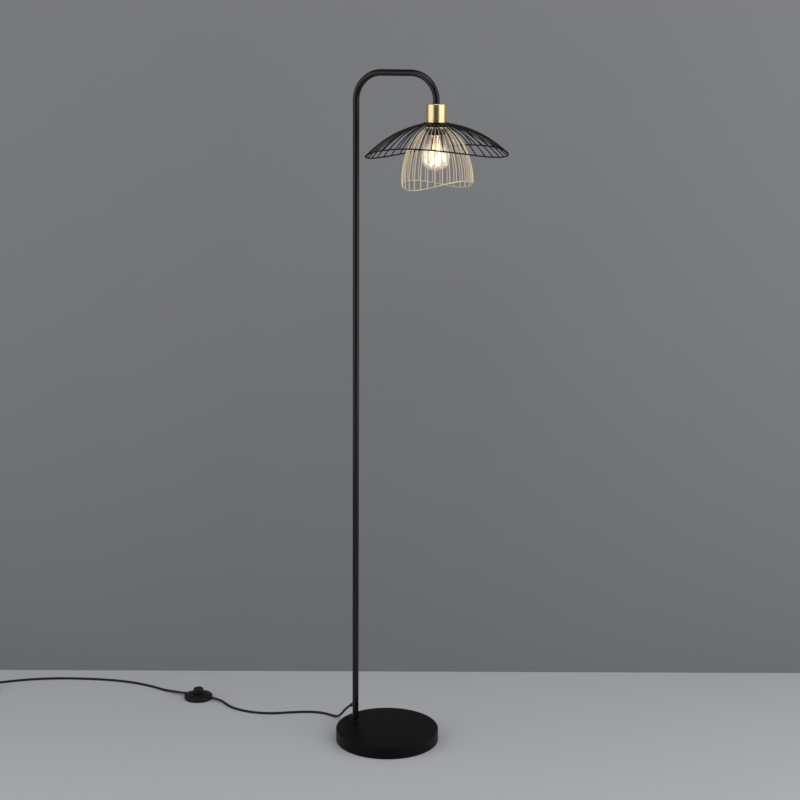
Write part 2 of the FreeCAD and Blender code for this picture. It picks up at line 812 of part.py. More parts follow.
# ---------------------------------------------------------------------------
# Cup and lampholder
# ---------------------------------------------------------------------------

HEAD = "Levels.drop_x"
THREAD_HOLE = "Sizes.nipple_diameter / 2 + Sizes.fit_clearance"

cup = turned("Cup", [
    (THREAD_HOLE, "Levels.holder_top"),
    ("Sizes.cup_diameter / 2 - Sizes.cup_wall", "Levels.holder_top"),
    ("Sizes.cup_diameter / 2 - Sizes.cup_wall", "Levels.cup_bottom"),
    ("Sizes.cup_diameter / 2", "Levels.cup_bottom"),
    ("Sizes.cup_diameter / 2", "Levels.cup_top"),
    (THREAD_HOLE, "Levels.cup_top"),
], HEAD)
bevel_edge(cup, size("cup_diameter") / 2, level("cup_top"), "Sizes.cup_edge_bevel")
keep(cup, "cup")

holder_cap = turned("HolderCap", [
    (THREAD_HOLE, "Levels.holder_top - Sizes.holder_cap_slope"),
    ("Levels.ledge_bore", "Levels.holder_top - Sizes.holder_cap_slope"),
    ("Levels.ledge_bore", "Levels.holder_split"),
    ("Levels.holder_radius", "Levels.holder_split"),
    ("Levels.holder_radius", "Levels.holder_top - Sizes.holder_cap_slope"),
    ("Sizes.holder_cap_flat / 2", "Levels.holder_top"),
    (THREAD_HOLE, "Levels.holder_top"),
], HEAD)
keep(holder_cap, "holder_cap")

skirt = turned("HolderSkirt", [
    ("Levels.ledge_bore", "Levels.skirt_bottom"),
    ("Levels.holder_radius", "Levels.skirt_bottom"),
    ("Levels.holder_radius", "Levels.holder_split"),
    ("Levels.holder_bore", "Levels.holder_split"),
    ("Levels.holder_bore", "Levels.insert_bottom"),
    ("Levels.ledge_bore", "Levels.insert_bottom"),
], HEAD)
keep(skirt, "holder_skirt")

keep(rod("HolderInsert", "Levels.holder_bore - Sizes.fit_clearance", "Sizes.insert_thickness",
         HEAD, z="Levels.insert_bottom"), "holder_insert")
keep(tube("HolderShell", "Levels.shell_bore", "Levels.shell_bore + Sizes.shell_wall", "Sizes.shell_length",
          HEAD, z="Levels.insert_bottom - Sizes.shell_length"), "holder_shell")

rivet = box("ContactRivet", "Sizes.contact_width", "Sizes.contact_width",
            "Sizes.contact_drop - Sizes.contact_thickness", HEAD,
            z="Levels.insert_bottom - Sizes.contact_drop + Sizes.contact_thickness")
leaf = box("ContactLeaf", "3 * Sizes.contact_width", "Sizes.contact_width", "Sizes.contact_thickness",
           HEAD, z="Levels.insert_bottom - Sizes.contact_drop")
keep(fuse("CentreContact", [rivet, leaf]), "centre_contact")


def grip_ring(name, low):
    """A ring nut with gripping flats round it."""
    flats = document.addObject("Part::Prism", f"{name}Flats")
    flats.setExpression("Polygon", "Sizes.ring_grips")
    flats.setExpression("Circumradius", "Sizes.ring_diameter / 2")
    flats.setExpression("Height", "Sizes.ring_height")
    place(flats, HEAD, z=low)
    bore = rod(f"{name}Bore", "Levels.holder_radius + Sizes.fit_clearance", "Sizes.ring_height", HEAD, z=low)
    return cut(name, flats, bore)


keep(grip_ring("ShadeRingUpper", "Levels.cage_hub_top"), "shade_ring_upper")
keep(grip_ring("ShadeRingLower", "Levels.ring_bottom"), "shade_ring_lower")
keep(tube("ShadeHub", "Levels.hub_bore", "Sizes.hub_diameter / 2", "Sizes.hub_thickness",
          HEAD, z="Levels.hub_bottom"), "shade_hub")
keep(tube("CageHub", "Levels.hub_bore", "Sizes.cage_hub_diameter / 2", "Sizes.hub_thickness",
          HEAD, z="Levels.cage_hub_bottom"), "cage_hub")

# ---------------------------------------------------------------------------
# Wire shades
# ---------------------------------------------------------------------------

WIRE_SIDES = 6
RIM_STEPS_PER_WIRE = 2
SHADE_ARC_STEPS = 3
CAGE_ARC_STEPS = 2
FLAT = math.cos(math.pi / WIRE_SIDES)

hub_centre = Vector(level("drop_x"), 0, level("cup_bottom"))
lean_way = math.radians(size("shade_lean_azimuth"))
lean = Rotation(Vector(math.sin(lean_way), -math.cos(lean_way), 0), size("shade_lean"))


def shade_point(angle, radius, drop, wave=0.0, wave_azimuth=0.0):
    """A point of a shade below the hub, on the leaning and waving surface."""
    rise = wave * math.cos(2 * (angle - math.radians(wave_azimuth)))
    return hub_centre + lean.multVec(Vector(radius * math.cos(angle), radius * math.sin(angle), rise - drop))


def hub_points(angle, hub_low, hub_radius, wire_radius):
    """The short run of a wire that is welded flat under a hub."""
    height = hub_low - wire_radius * FLAT + size("weld_bite")
    start = size("ring_diameter") / 2 + size("weld_gap")
    way = Vector(math.cos(angle), math.sin(angle), 0)
    axis = Vector(level("drop_x"), 0, height)
    return axis + way * start, axis + way * hub_radius


def rim_points(count, radius, drop, wave, wave_azimuth):
    """Points round a waving rim, the wires' angles among them."""
    steps = count * RIM_STEPS_PER_WIRE
    return [shade_point(2 * math.pi * k / steps, radius, drop, wave, wave_azimuth) for k in range(steps)]


def stop_short(points, gap):
    """The same points, the last one drawn back along its run by a gap."""
    last = unit(points[-1] - points[-2])
    return points[:-1] + [points[-1] - last * gap]


shade_wire = size("shade_wire_diameter") / 2
shade_rim = size("shade_rim_diameter") / 2
shade_rim_points = rim_points(int(size("shade_wires")), size("shade_diameter") / 2, size("shade_depth"),
                              size("shade_wave"), size("shade_wave_azimuth"))
shade_wires = []
for k in range(int(size("shade_wires"))):
    angle = 2 * math.pi * k / int(size("shade_wires"))
    inner, edge = hub_points(angle, level("hub_bottom"), size("hub_diameter") / 2, shade_wire)
    arc = bowed(edge, shade_rim_points[k * RIM_STEPS_PER_WIRE], size("shade_bow"), SHADE_ARC_STEPS)
    route = stop_short([inner] + arc, shade_rim * FLAT - size("weld_bite"))
    shade_wires.append(wire_along(route, shade_wire, WIRE_SIDES))
keep(formed("ShadeWires", Part.makeCompound(shade_wires)), "shade_wires")
keep(formed("ShadeRim", closed_wire(shade_rim_points, shade_rim, WIRE_SIDES)), "shade_rim")

cage_wire = size("cage_wire_diameter") / 2
cage_rim = size("cage_rim_diameter") / 2
cage_rim_points = rim_points(int(size("cage_wires")), size("cage_diameter") / 2, size("cage_depth"),
                             size("cage_wave"), size("cage_wave_azimuth"))
cage_wires = []
for k in range(int(size("cage_wires"))):
    angle = 2 * math.pi * k / int(size("cage_wires"))
    inner, edge = hub_points(angle, level("cage_hub_bottom"), size("cage_hub_diameter") / 2, cage_wire)
    shoulder = shade_point(angle, size("cage_shoulder_diameter") / 2, size("cage_shoulder_drop"))
    crown = bowed(edge, shoulder, size("cage_crown_bow"), CAGE_ARC_STEPS)
    side = bowed(shoulder, cage_rim_points[k * RIM_STEPS_PER_WIRE], size("cage_wall_bow"), CAGE_ARC_STEPS)
    route = stop_short([inner] + crown + side[1:], cage_rim * FLAT - size("weld_bite"))
    cage_wires.append(wire_along(route, cage_wire, WIRE_SIDES))
keep(formed("CageWires", Part.makeCompound(cage_wires)), "cage_wires")
keep(formed("CageRim", closed_wire(cage_rim_points, cage_rim, WIRE_SIDES)), "cage_rim")

# ---------------------------------------------------------------------------
# Bulb
# ---------------------------------------------------------------------------

# share of the globe's radius and of the glass height, from the bottom up
GLOBE = ((0.53, 0.06), (0.90, 0.2), (1.0, 0.41), (0.87, 0.62), (0.55, 0.82))
GLASS_HEIGHT = "(Sizes.bulb_length - Sizes.bulb_cap_length)"
NECK = "Sizes.bulb_neck_diameter / 2"
NECK_TOP = "Levels.bulb_cap_bottom + Sizes.bulb_neck_grip"
CROWN_RISE = "Sizes.filament_length + Sizes.contact_thickness"

outside = [("0", "Levels.bulb_bottom")]
inside = [("0", "Levels.bulb_bottom + Sizes.bulb_glass_wall")]
for share, rise in GLOBE:
    radius = f"{share} * Sizes.bulb_diameter / 2"
    height = f"Levels.bulb_bottom + {rise} * {GLASS_HEIGHT}"
    outside.append((radius, height))
    inside.append((f"{radius} - Sizes.bulb_glass_wall", height))
inside[1] = (inside[1][0], f"{inside[1][1]} + Sizes.bulb_glass_wall")
outside += [(NECK, "Levels.bulb_cap_bottom"), (NECK, NECK_TOP)]
inside += [(f"{NECK} - Sizes.bulb_glass_wall", "Levels.bulb_cap_bottom"),
           (f"{NECK} - Sizes.bulb_glass_wall", NECK_TOP)]
keep(turned("BulbGlass", outside + inside[::-1], HEAD), "bulb_glass")

bulb_cap = turned("BulbCap", [
    ("0", NECK_TOP),
    (f"{NECK} + Sizes.fit_clearance", NECK_TOP),
    (f"{NECK} + Sizes.fit_clearance", "Levels.bulb_cap_bottom"),
    ("Sizes.bulb_cap_diameter / 2", "Levels.bulb_cap_bottom"),
    ("Sizes.bulb_cap_diameter / 2", "Levels.bulb_top - Sizes.bulb_neck_grip / 2"),
    ("Sizes.bulb_tip_diameter / 2", "Levels.bulb_top"),
    ("0", "Levels.bulb_top"),
], HEAD)
keep(bulb_cap, "bulb_cap")

stem_low = "Levels.bulb_cap_bottom + Sizes.bulb_neck_grip - Sizes.stem_length"
stem = rod("Stem", "Sizes.stem_diameter / 2", "Sizes.stem_length", HEAD, z=stem_low)
crown_width = "2 * Sizes.filament_spread + Sizes.filament_diameter"
crowns = []
for name, low in (("CrownLow", stem_low), ("CrownHigh", f"{stem_low} + {CROWN_RISE}")):
    for way, (length, width) in enumerate(((crown_width, "Sizes.filament_diameter"),
                                           ("Sizes.filament_diameter", crown_width))):
        crowns.append(box(f"{name}{way}", length, width, "Sizes.contact_thickness", HEAD, z=low))
keep(fuse("BulbStem", [stem] + crowns), "bulb_stem")

filaments = []
for side, (x_step, y_step) in enumerate(((1, 0), (0, 1), (-1, 0), (0, -1))):
    filaments.append(rod(f"Filament{side}", "Sizes.filament_diameter / 2", "Sizes.filament_length",
                         f"{HEAD} + {x_step} * Sizes.filament_spread", f"{y_step} * Sizes.filament_spread",
                         f"{stem_low} + Sizes.contact_thickness"))
keep(group("BulbFilaments", filaments), "bulb_filaments")

# ---------------------------------------------------------------------------
# Foot switch
# ---------------------------------------------------------------------------

SWITCH = ("Sizes.switch_x", "Sizes.switch_y")
ALONG_X = Rotation(Vector(0, 1, 0), 90)
SCREW_SIDES = (1, -1)
BUTTON = "Sizes.button_diameter / 2"

switch_plate = rod("SwitchPlate", "Sizes.switch_diameter / 2", "Sizes.switch_seam - Sizes.switch_foot_height",
                   *SWITCH, "Sizes.switch_foot_height")
screw_length = "Sizes.switch_side - Sizes.switch_foot_height"
screw_ways, bosses, boss_holes, switch_screws = [], [], [], []
for side in SCREW_SIDES:
    spot = (SWITCH[0], f"{SWITCH[1]} + {side} * Sizes.switch_screw_circle / 2")
    bosses.append(rod(f"Boss{side}", "Sizes.switch_boss_diameter / 2", "Sizes.switch_side - Sizes.switch_seam",
                      *spot, "Sizes.switch_seam"))
    screw_ways.append(rod(f"ScrewWay{side}", "Sizes.switch_screw_diameter / 2", screw_length,
                          *spot, "Sizes.switch_foot_height"))
    switch_screws.append(rod(f"SwitchScrew{side}", "Sizes.switch_screw_diameter / 2 - Sizes.fit_clearance",
                             screw_length, *spot, "Sizes.switch_foot_height"))
ways = fuse("ScrewWays", screw_ways)
keep(cut("SwitchBase", switch_plate, ways), "switch_base")
keep(group("SwitchScrews", switch_screws), "switch_screws")

dome = turned("SwitchDome", [
    (f"{BUTTON} + Sizes.button_gap", "Levels.switch_ceiling"),
    ("Sizes.switch_crown_diameter / 2", "Levels.switch_ceiling"),
    ("Sizes.switch_diameter / 2 - Sizes.switch_wall", "Sizes.switch_side - Sizes.switch_wall / 2"),
    ("Sizes.switch_diameter / 2 - Sizes.switch_wall", "Sizes.switch_seam"),
    ("Sizes.switch_diameter / 2", "Sizes.switch_seam"),
    ("Sizes.switch_diameter / 2", "Sizes.switch_side"),
    ("Sizes.switch_crown_diameter / 2", "Sizes.switch_height"),
    (f"{BUTTON} + Sizes.button_gap", "Sizes.switch_height"),
], *SWITCH)
spout_root = "Sizes.switch_diameter / 2 - 2 * Sizes.spout_length"
spouts, cord_ways = [], []
for side, start in ((1, spout_root), (-1, f"0 - ({spout_root}) - 3 * Sizes.spout_length")):
    spot = (f"{SWITCH[0]} + {start}", SWITCH[1], "Sizes.switch_lead_height")
    spouts.append(rod(f"Spout{side}", "Sizes.spout_diameter / 2", "3 * Sizes.spout_length", *spot, ALONG_X))
    cord_ways.append(rod(f"CordWay{side}", "Sizes.lead_diameter / 2 + Sizes.fit_clearance",
                         "3 * Sizes.spout_length", *spot, ALONG_X))
shell = fuse("SwitchShell", [dome] + bosses + spouts)
keep(cut("SwitchCover", shell, fuse("CoverWays", cord_ways + screw_ways)), "switch_cover")

button = turned("SwitchButton", [
    ("0", "Levels.block_top + Sizes.button_travel + Sizes.button_gap"),
    ("Sizes.button_stem_diameter / 2", "Levels.block_top + Sizes.button_travel + Sizes.button_gap"),
    ("Sizes.button_stem_diameter / 2", "Levels.button_ceiling"),
    (f"{BUTTON} - Sizes.button_wall", "Levels.button_ceiling"),
    (f"{BUTTON} - Sizes.button_wall", "Levels.flange_top - Sizes.button_flange"),
    (f"{BUTTON} + Sizes.button_flange", "Levels.flange_top - Sizes.button_flange"),
    (f"{BUTTON} + Sizes.button_flange", "Levels.flange_top"),
    (BUTTON, "Levels.flange_top"),
    (BUTTON, "Levels.button_top"),
    ("0", "Levels.button_top"),
], *SWITCH)
bevel_edge(button, size("button_diameter") / 2, level("button_top"), "Sizes.button_edge_bevel")
keep(button, "switch_button")

keep(box("SwitchBlock", "Sizes.block_width", "Sizes.block_width", "Sizes.block_height",
         *SWITCH, "Sizes.switch_seam"), "switch_block")

terminals, feet = [], []
foot_step = "Sizes.switch_foot_circle / 2 * cos(45)"
for side in (1, -1):
    terminals.append(box(f"Terminal{side}", "Sizes.block_width / 2", "Sizes.block_width", "Sizes.block_height",
                         f"{SWITCH[0]} + {side} * (Sizes.switch_entry - Sizes.block_width / 4)",
                         SWITCH[1], "Sizes.switch_seam"))
    for end in (1, -1):
        feet.append(rod(f"Foot{side}{end}", "Sizes.switch_foot_diameter / 2", "Sizes.switch_foot_height",
                        f"{SWITCH[0]} + {side} * {foot_step}", f"{SWITCH[1]} + {end} * {foot_step}"))
keep(group("SwitchTerminals", terminals), "switch_terminals")
keep(group("SwitchFeet", feet), "switch_feet")

SPRING_STEPS = 12
spring_low = level("block_top") + size("spring_wire") / 2
spring_high = level("button_ceiling") - size("spring_wire") / 2
spring_radius = (size("spring_diameter") - size("spring_wire")) / 2
spring_count = int(size("spring_turns") * SPRING_STEPS)
spring_points = []
for k in range(spring_count + 1):
    angle = 2 * math.pi * k / SPRING_STEPS
    rise = spring_low + (spring_high - spring_low) * k / spring_count
    spring_points.append(Vector(size("switch_x") + spring_radius * math.cos(angle),
                                size("switch_y") + spring_radius * math.sin(angle), rise))
keep(formed("SwitchSpring", wire_along(spring_points, size("spring_wire") / 2, WIRE_SIDES)), "switch_spring")

# ---------------------------------------------------------------------------
# Mains lead
# ---------------------------------------------------------------------------

lead = size("lead_diameter") / 2
floor_height = size("floor_cord_height")
switch_axis = size("switch_lead_height")
switch_spot = Vector(size("switch_x"), size("switch_y"), switch_axis)
cord_exit = exit_origin + exit_way * (size("relief_start") + size("relief_neck") + size("relief_collar")
                                      + size("relief_length"))

inner_points = [
    Vector(level("drop_x"), 0, level("holder_split") + size("holder_cap_slope")),
    Vector(level("drop_x"), 0, level("arm_axis")),
    Vector(level("pole_x"), 0, level("arm_axis")),
    exit_origin,
    cord_exit,
]
inner_path, inner_radii = cord_path(inner_points, [bend, bend, size("lead_bend")])
inner_shape = sweep(inner_path, lead)
keep(formed("InnerLead", inner_shape), "inner_lead")
report_cord("inner lead", inner_path, inner_shape, lead, inner_radii)

core = size("core_diameter") / 2
cores = []
for side in (1, -1):
    top = inner_points[0] + Vector(side * lead / 2, 0, 0)
    foot = Vector(level("drop_x") + side * size("contact_width") * 2, 0, level("holder_split"))
    bend_point = Vector(foot.x, 0, (top.z + foot.z) / 2)
    cores.append(wire_along([top, bend_point, foot], core, WIRE_SIDES, Vector(0, 1, 0)))
keep(formed("HolderCores", Part.makeCompound(cores)), "holder_cores")

lead_points = [
    cord_exit,
    cord_exit + exit_way * size("exit_run"),
    Vector(-140.3, 51.4, 16.5),
    Vector(-158, 66.2, floor_height),
    Vector(-196, 77, floor_height),
    Vector(-232, 69, floor_height),
    Vector(-268, 49, floor_height),
    Vector(-306, 23, floor_height),
    Vector(-354, 10, floor_height),
    Vector(-398, 14, floor_height),
    Vector(-425, 25, floor_height),
    switch_spot + Vector(size("switch_entry") + size("switch_run"), 0, 0),
    switch_spot + Vector(size("switch_entry"), 0, 0),
]
lead_path, lead_radii = cord_path(lead_points)
lead_shape = sweep(lead_path, lead)
keep(formed("CordLead", lead_shape), "cord_lead")
report_cord("lead to the switch", lead_path, lead_shape, lead, lead_radii)

coil_place = Placement(Vector(size("coil_x"), size("coil_y"), size("coil_height")),
                       Rotation(Vector(0, 0, 1), size("coil_azimuth")))
coil_radius = size("coil_radius")
coil_step = size("coil_step")
coil_entry = coil_place.multVec(Vector(coil_radius, -size("lead_diameter"), 0))
coil_way = coil_place.Rotation.multVec(Vector(0, 1, 0))

run_points = [
    switch_spot - Vector(size("switch_entry"), 0, 0),
    switch_spot - Vector(size("switch_entry") + size("switch_run"), 0, 0),
    Vector(-612, 50, floor_height),
    Vector(-655, 60, floor_height),
    Vector(-705, 64, floor_height),
    Vector(-755, 58.5, floor_height),
    Vector(-803, 47, floor_height),
    Vector(-848, 32, floor_height),
    Vector(-893, 13.5, floor_height),
    Vector(-935, -9, floor_height),
    Vector(-975, -37, floor_height),
    Vector(-1011, -69.7, floor_height),
    coil_entry - coil_way * size("coil_run"),
    coil_entry,
]
run_path, run_radii = cord_path(run_points)
run_shape = sweep(run_path, lead)
keep(formed("CordRun", run_shape), "cord_run")
report_cord("run to the coil", run_path, run_shape, lead, run_radii)

# half turns of the coil: inwards on the floor layer, then outwards on top of it
HALF_TURNS_IN = 3
HALF_TURNS_OUT = 4
half_radii = [coil_radius - k * coil_step / 2 for k in range(HALF_TURNS_IN + 1)]
half_radii += [coil_radius + (k - HALF_TURNS_IN + 1) * coil_step / 2 for k in range(HALF_TURNS_OUT)]
coil_edges = [Part.LineSegment(Vector(coil_radius, -size("lead_diameter"), 0), Vector(coil_radius, 0, 0))]
spot = Vector(coil_radius, 0, 0)
for k, half_radius in enumerate(half_radii):
    side = 1 if k % 2 == 0 else -1
    climb = coil_step if k == HALF_TURNS_IN else 0
    ahead = spot + Vector(-2 * side * half_radius, 0, climb)
    middle = (spot + ahead) / 2 + Vector(0, side * (ahead - spot).Length / 2, 0)
    coil_edges.append(Part.Arc(spot, middle, ahead))
    spot = ahead
coil_edges.append(Part.LineSegment(spot, spot + Vector(0, size("lead_diameter"), 0)))
coil_path = Part.Wire([edge.toShape() for edge in coil_edges])
coil_shape = sweep(coil_path, lead)
coil = formed("CordCoil", coil_shape)
coil.Placement = coil_place
keep(coil, "cord_coil")
report_cord("coil", coil_path, coil_shape, lead, half_radii)
SAMPLES = 360
spread = coil_path.discretize(Number=SAMPLES)
apart = int(6 * size("lead_diameter") / coil_path.Length * SAMPLES)
least = min(spread[i].distanceToPoint(spread[j])
            for i in range(SAMPLES) for j in range(i + apart, SAMPLES))
print(f"coil: least gap to itself {least - size('lead_diameter'):.2f} mm")

top_layer = Vector(0, 0, coil_step)
tail_points = [coil_place.multVec(point) for point in (
    Vector(coil_radius, size("lead_diameter"), coil_step),
    Vector(coil_radius, size("lead_diameter") + size("tail_run"), coil_step),
    Vector(23, 48, size("coil_height")),
    Vector(3, 62, size("plug_thickness") / 2 - size("coil_height")),
    Vector(-17, 62, size("plug_thickness") / 2 - size("coil_height")),
)]
tail_path, tail_radii = cord_path(tail_points)
tail_shape = sweep(tail_path, lead)
keep(formed("CordTail", tail_shape), "cord_tail")
report_cord("tail to the plug", tail_path, tail_shape, lead, tail_radii)

cord_length = sum(path.Length for path in (lead_path, run_path, coil_path, tail_path))
print(f"free cord: {cord_length:.0f} mm")

tie_low = coil_radius - size("tie_inset")
tie_high = coil_radius + size("tie_outset")
tie_side = -size("tie_shift") - size("tie_width") / 2
tie_clear = lead + size("tie_clearance")
tie_inside = Part.makeBox(size("tie_width"), tie_high - tie_low, coil_step + 2 * tie_clear,
                          Vector(tie_side, tie_low, -tie_clear))
wrap = size("tie_thickness")
tie_outside = Part.makeBox(size("tie_width"), tie_high - tie_low + 2 * wrap, coil_step + 2 * (tie_clear + wrap),
                           Vector(tie_side, tie_low - wrap, -tie_clear - wrap))
tie = formed("CordTie", tie_outside.cut(tie_inside))
tie.Placement = coil_place
keep(tie, "cord_tie")

# ---------------------------------------------------------------------------
# Plug
# ---------------------------------------------------------------------------

plug_place = Placement(tail_points[-1], coil_place.Rotation.multiply(Rotation(Vector(0, 0, 1), 180)))
half_width = size("plug_width") / 2
half_thickness = size("plug_thickness") / 2
PLUG_ENTRY_SHARE = 0.5
sections = []
for along, share in ((0, PLUG_ENTRY_SHARE), (size("plug_taper"), 1.0), (size("plug_length"), 1.0)):
    corners = [Vector(along, half_width * y * share, half_thickness * z)
               for y, z in ((-1, -1), (1, -1), (1, 1), (-1, 1), (-1, -1))]
    sections.append(Part.makePolygon(corners))
plug = formed("PlugBody", Part.makeLoft(sections, True, True))
plug.Placement = plug_place
keep(plug, "plug_body")

pins = [
    Part.makeCylinder(size("plug_pin_diameter") / 2, size("plug_pin_length"),
                      Vector(size("plug_length"), side * size("plug_pin_spacing") / 2, 0), Vector(1, 0, 0))
    for side in (1, -1)
]
plug_pins = formed("PlugPins", Part.makeCompound(pins))
plug_pins.Placement = plug_place
keep(plug_pins, "plug_pins")

# ---------------------------------------------------------------------------
# Check and write
# ---------------------------------------------------------------------------

document.recompute()
for thing in document.Objects:
    problems = [state for state in thing.State if state in ("Invalid", "Error")]
    assert not problems, f"{thing.Name}: {problems}"

os.makedirs("parts", exist_ok=True)
for thing in nodes:
    shape = thing.Shape
    assert not shape.isNull() and shape.isValid() and shape.Volume > 0, f"{thing.Label}: bad shape"
    shape.exportStep(f"parts/{thing.Label}.step")
print(f"{len(nodes)} sub-parts written")
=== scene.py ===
"""Dress the wire cage floor lamp and light it.

The lamp's own solids come from model.glb. This file gives each of them a
finish, makes the wire shades, the blown bulb and the mains lead in their full
roundness over the plain solids, and sets the floor, the lamps and the camera.

Metres, in the lamp's frame: +Z is up, +X points from the pole towards the
shades, and the origin is on the floor under the middle of the base.
"""

import logging
import math
from dataclasses import dataclass, field
from enum import Enum
from typing import Callable, Iterable, Optional, Sequence

import bmesh
import bpy
from mathutils import Matrix, Vector


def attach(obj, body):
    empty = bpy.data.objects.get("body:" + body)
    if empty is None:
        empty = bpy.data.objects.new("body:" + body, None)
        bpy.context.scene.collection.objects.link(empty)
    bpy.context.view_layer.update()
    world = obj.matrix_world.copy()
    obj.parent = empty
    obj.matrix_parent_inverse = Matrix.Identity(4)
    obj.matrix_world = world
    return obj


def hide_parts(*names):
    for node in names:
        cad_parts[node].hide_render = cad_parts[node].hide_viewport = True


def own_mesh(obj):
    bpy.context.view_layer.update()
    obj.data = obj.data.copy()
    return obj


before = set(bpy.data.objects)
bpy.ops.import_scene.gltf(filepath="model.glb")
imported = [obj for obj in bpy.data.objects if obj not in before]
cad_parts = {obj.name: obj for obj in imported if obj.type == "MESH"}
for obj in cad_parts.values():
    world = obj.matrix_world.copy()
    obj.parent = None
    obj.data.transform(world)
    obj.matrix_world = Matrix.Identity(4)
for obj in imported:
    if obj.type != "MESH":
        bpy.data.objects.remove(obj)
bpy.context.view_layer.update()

log = logging.getLogger("lamp")

MILLIMETRE = 0.001
LAMP_BODY = "lamp"
BULB_BODY = "bulb"
SWITCH_BODY = "switch_button"


class Slot(Enum):
    """The record's material slots, named for the new pieces; this script passes them along but reads nothing
    from them.
    """

    BLACK_PAINT = "black_paint"
    BRASS = "satin_brass"
    CAP_METAL = "cap_metal"
    CLEAR_GLASS = "clear_glass"
    GOLD_WIRE = "gold_wire"
    LEAD = "lead_sheath"
    PLASTIC = "black_plastic"
    RUBBER = "rubber"
    STEEL = "steel"


# ---------------------------------------------------------------------------
# Node groups for the finishes
# ---------------------------------------------------------------------------


class ShaderGroup:
    """A shader node group with named inputs and outputs, built once."""

    def __init__(self, name: str, inputs: dict[str, float], outputs: dict[str, str]) -> None:
        """Make the group's sockets.

        Args:
            name: The group's name.
            inputs: Each float input's name and default value.
            outputs: Each output's name and socket type.
        """
        self.tree = bpy.data.node_groups.new(name, "ShaderNodeTree")
        for label, value in inputs.items():
            socket = self.tree.interface.new_socket(label, in_out="INPUT", socket_type="NodeSocketFloat")
            socket.default_value = value
        for label, kind in outputs.items():
            self.tree.interface.new_socket(label, in_out="OUTPUT", socket_type=kind)
        self.source = self.tree.nodes.new("NodeGroupInput")
        self.sink = self.tree.nodes.new("NodeGroupOutput")

    def node(self, kind: str, **settings: object) -> bpy.types.Node:
        """Add a node and set its properties.

        Args:
            kind: The node's type name.
            **settings: Properties of the node.

        Returns:
            The new node.
        """
        node = self.tree.nodes.new(kind)
        for key, value in settings.items():
            setattr(node, key, value)
        return node

    def link(self, source: bpy.types.NodeSocket, target: bpy.types.NodeSocket) -> None:
        """Join two sockets."""
        self.tree.links.new(source, target)


def build_grain_group() -> bpy.types.NodeTree:
    """Fine grain with slow blotches, for every painted and moulded surface.

    Returns:
        A group with the inputs Grain Scale, Blotch Scale and Wear, and the
        outputs Blotch, Grain and Relief.
    """
    group = ShaderGroup(
        "surface_grain",
        {"Grain Scale": 900.0, "Blotch Scale": 30.0, "Wear": 0.5},
        {"Blotch": "NodeSocketFloat", "Grain": "NodeSocketFloat", "Relief": "NodeSocketFloat"},
    )
    place = group.node("ShaderNodeTexCoord")
    grain = group.node("ShaderNodeTexNoise")
    grain.inputs["Detail"].default_value = 3.0
    grain.inputs["Roughness"].default_value = 0.6
    blotch = group.node("ShaderNodeTexNoise")
    blotch.inputs["Detail"].default_value = 4.0
    soften = group.node("ShaderNodeMapRange")
    soften.inputs["From Min"].default_value = 0.35
    soften.inputs["From Max"].default_value = 0.7
    scaled = group.node("ShaderNodeMath", operation="MULTIPLY")
    total = group.node("ShaderNodeMath", operation="ADD")
    for noise, label in ((grain, "Grain Scale"), (blotch, "Blotch Scale")):
        group.link(place.outputs["Object"], noise.inputs["Vector"])
        group.link(group.source.outputs[label], noise.inputs["Scale"])
    group.link(blotch.outputs["Fac"], soften.inputs["Value"])
    group.link(soften.outputs["Result"], scaled.inputs[0])
    group.link(group.source.outputs["Wear"], scaled.inputs[1])
    group.link(grain.outputs["Fac"], total.inputs[0])
    group.link(scaled.outputs["Value"], total.inputs[1])
    group.link(scaled.outputs["Value"], group.sink.inputs["Blotch"])
    group.link(grain.outputs["Fac"], group.sink.inputs["Grain"])
    group.link(total.outputs["Value"], group.sink.inputs["Relief"])
    return group.tree


def build_brush_group() -> bpy.types.NodeTree:
    """Fine turned lines round an upright axis, for lathe-finished metal.

    Returns:
        A group with the inputs Line Scale and Smear, and the outputs Lines
        and Height.
    """
    group = ShaderGroup(
        "turned_lines",
        {"Line Scale": 2500.0, "Smear": 30.0},
        {"Lines": "NodeSocketFloat", "Height": "NodeSocketFloat"},
    )
    place = group.node("ShaderNodeTexCoord")
    stretch = group.node("ShaderNodeCombineXYZ")
    scaled = group.node("ShaderNodeVectorMath", operation="MULTIPLY")
    noise = group.node("ShaderNodeTexNoise")
    noise.inputs["Scale"].default_value = 1.0
    noise.inputs["Detail"].default_value = 2.0
    group.link(group.source.outputs["Smear"], stretch.inputs["X"])
    group.link(group.source.outputs["Smear"], stretch.inputs["Y"])
    group.link(group.source.outputs["Line Scale"], stretch.inputs["Z"])
    group.link(place.outputs["Object"], scaled.inputs[0])
    group.link(stretch.outputs["Vector"], scaled.inputs[1])
    group.link(scaled.outputs["Vector"], noise.inputs["Vector"])
    contrast = group.node("ShaderNodeMapRange")
    contrast.inputs["From Min"].default_value = 0.3
    contrast.inputs["From Max"].default_value = 0.7
    group.link(noise.outputs["Fac"], contrast.inputs["Value"])
    group.link(contrast.outputs["Result"], group.sink.inputs["Lines"])
    group.link(noise.outputs["Fac"], group.sink.inputs["Height"])
    return group.tree


GRAIN = build_grain_group()
BRUSH = build_brush_group()


# ---------------------------------------------------------------------------
# Finishes
# ---------------------------------------------------------------------------

Colour = tuple[float, float, float]


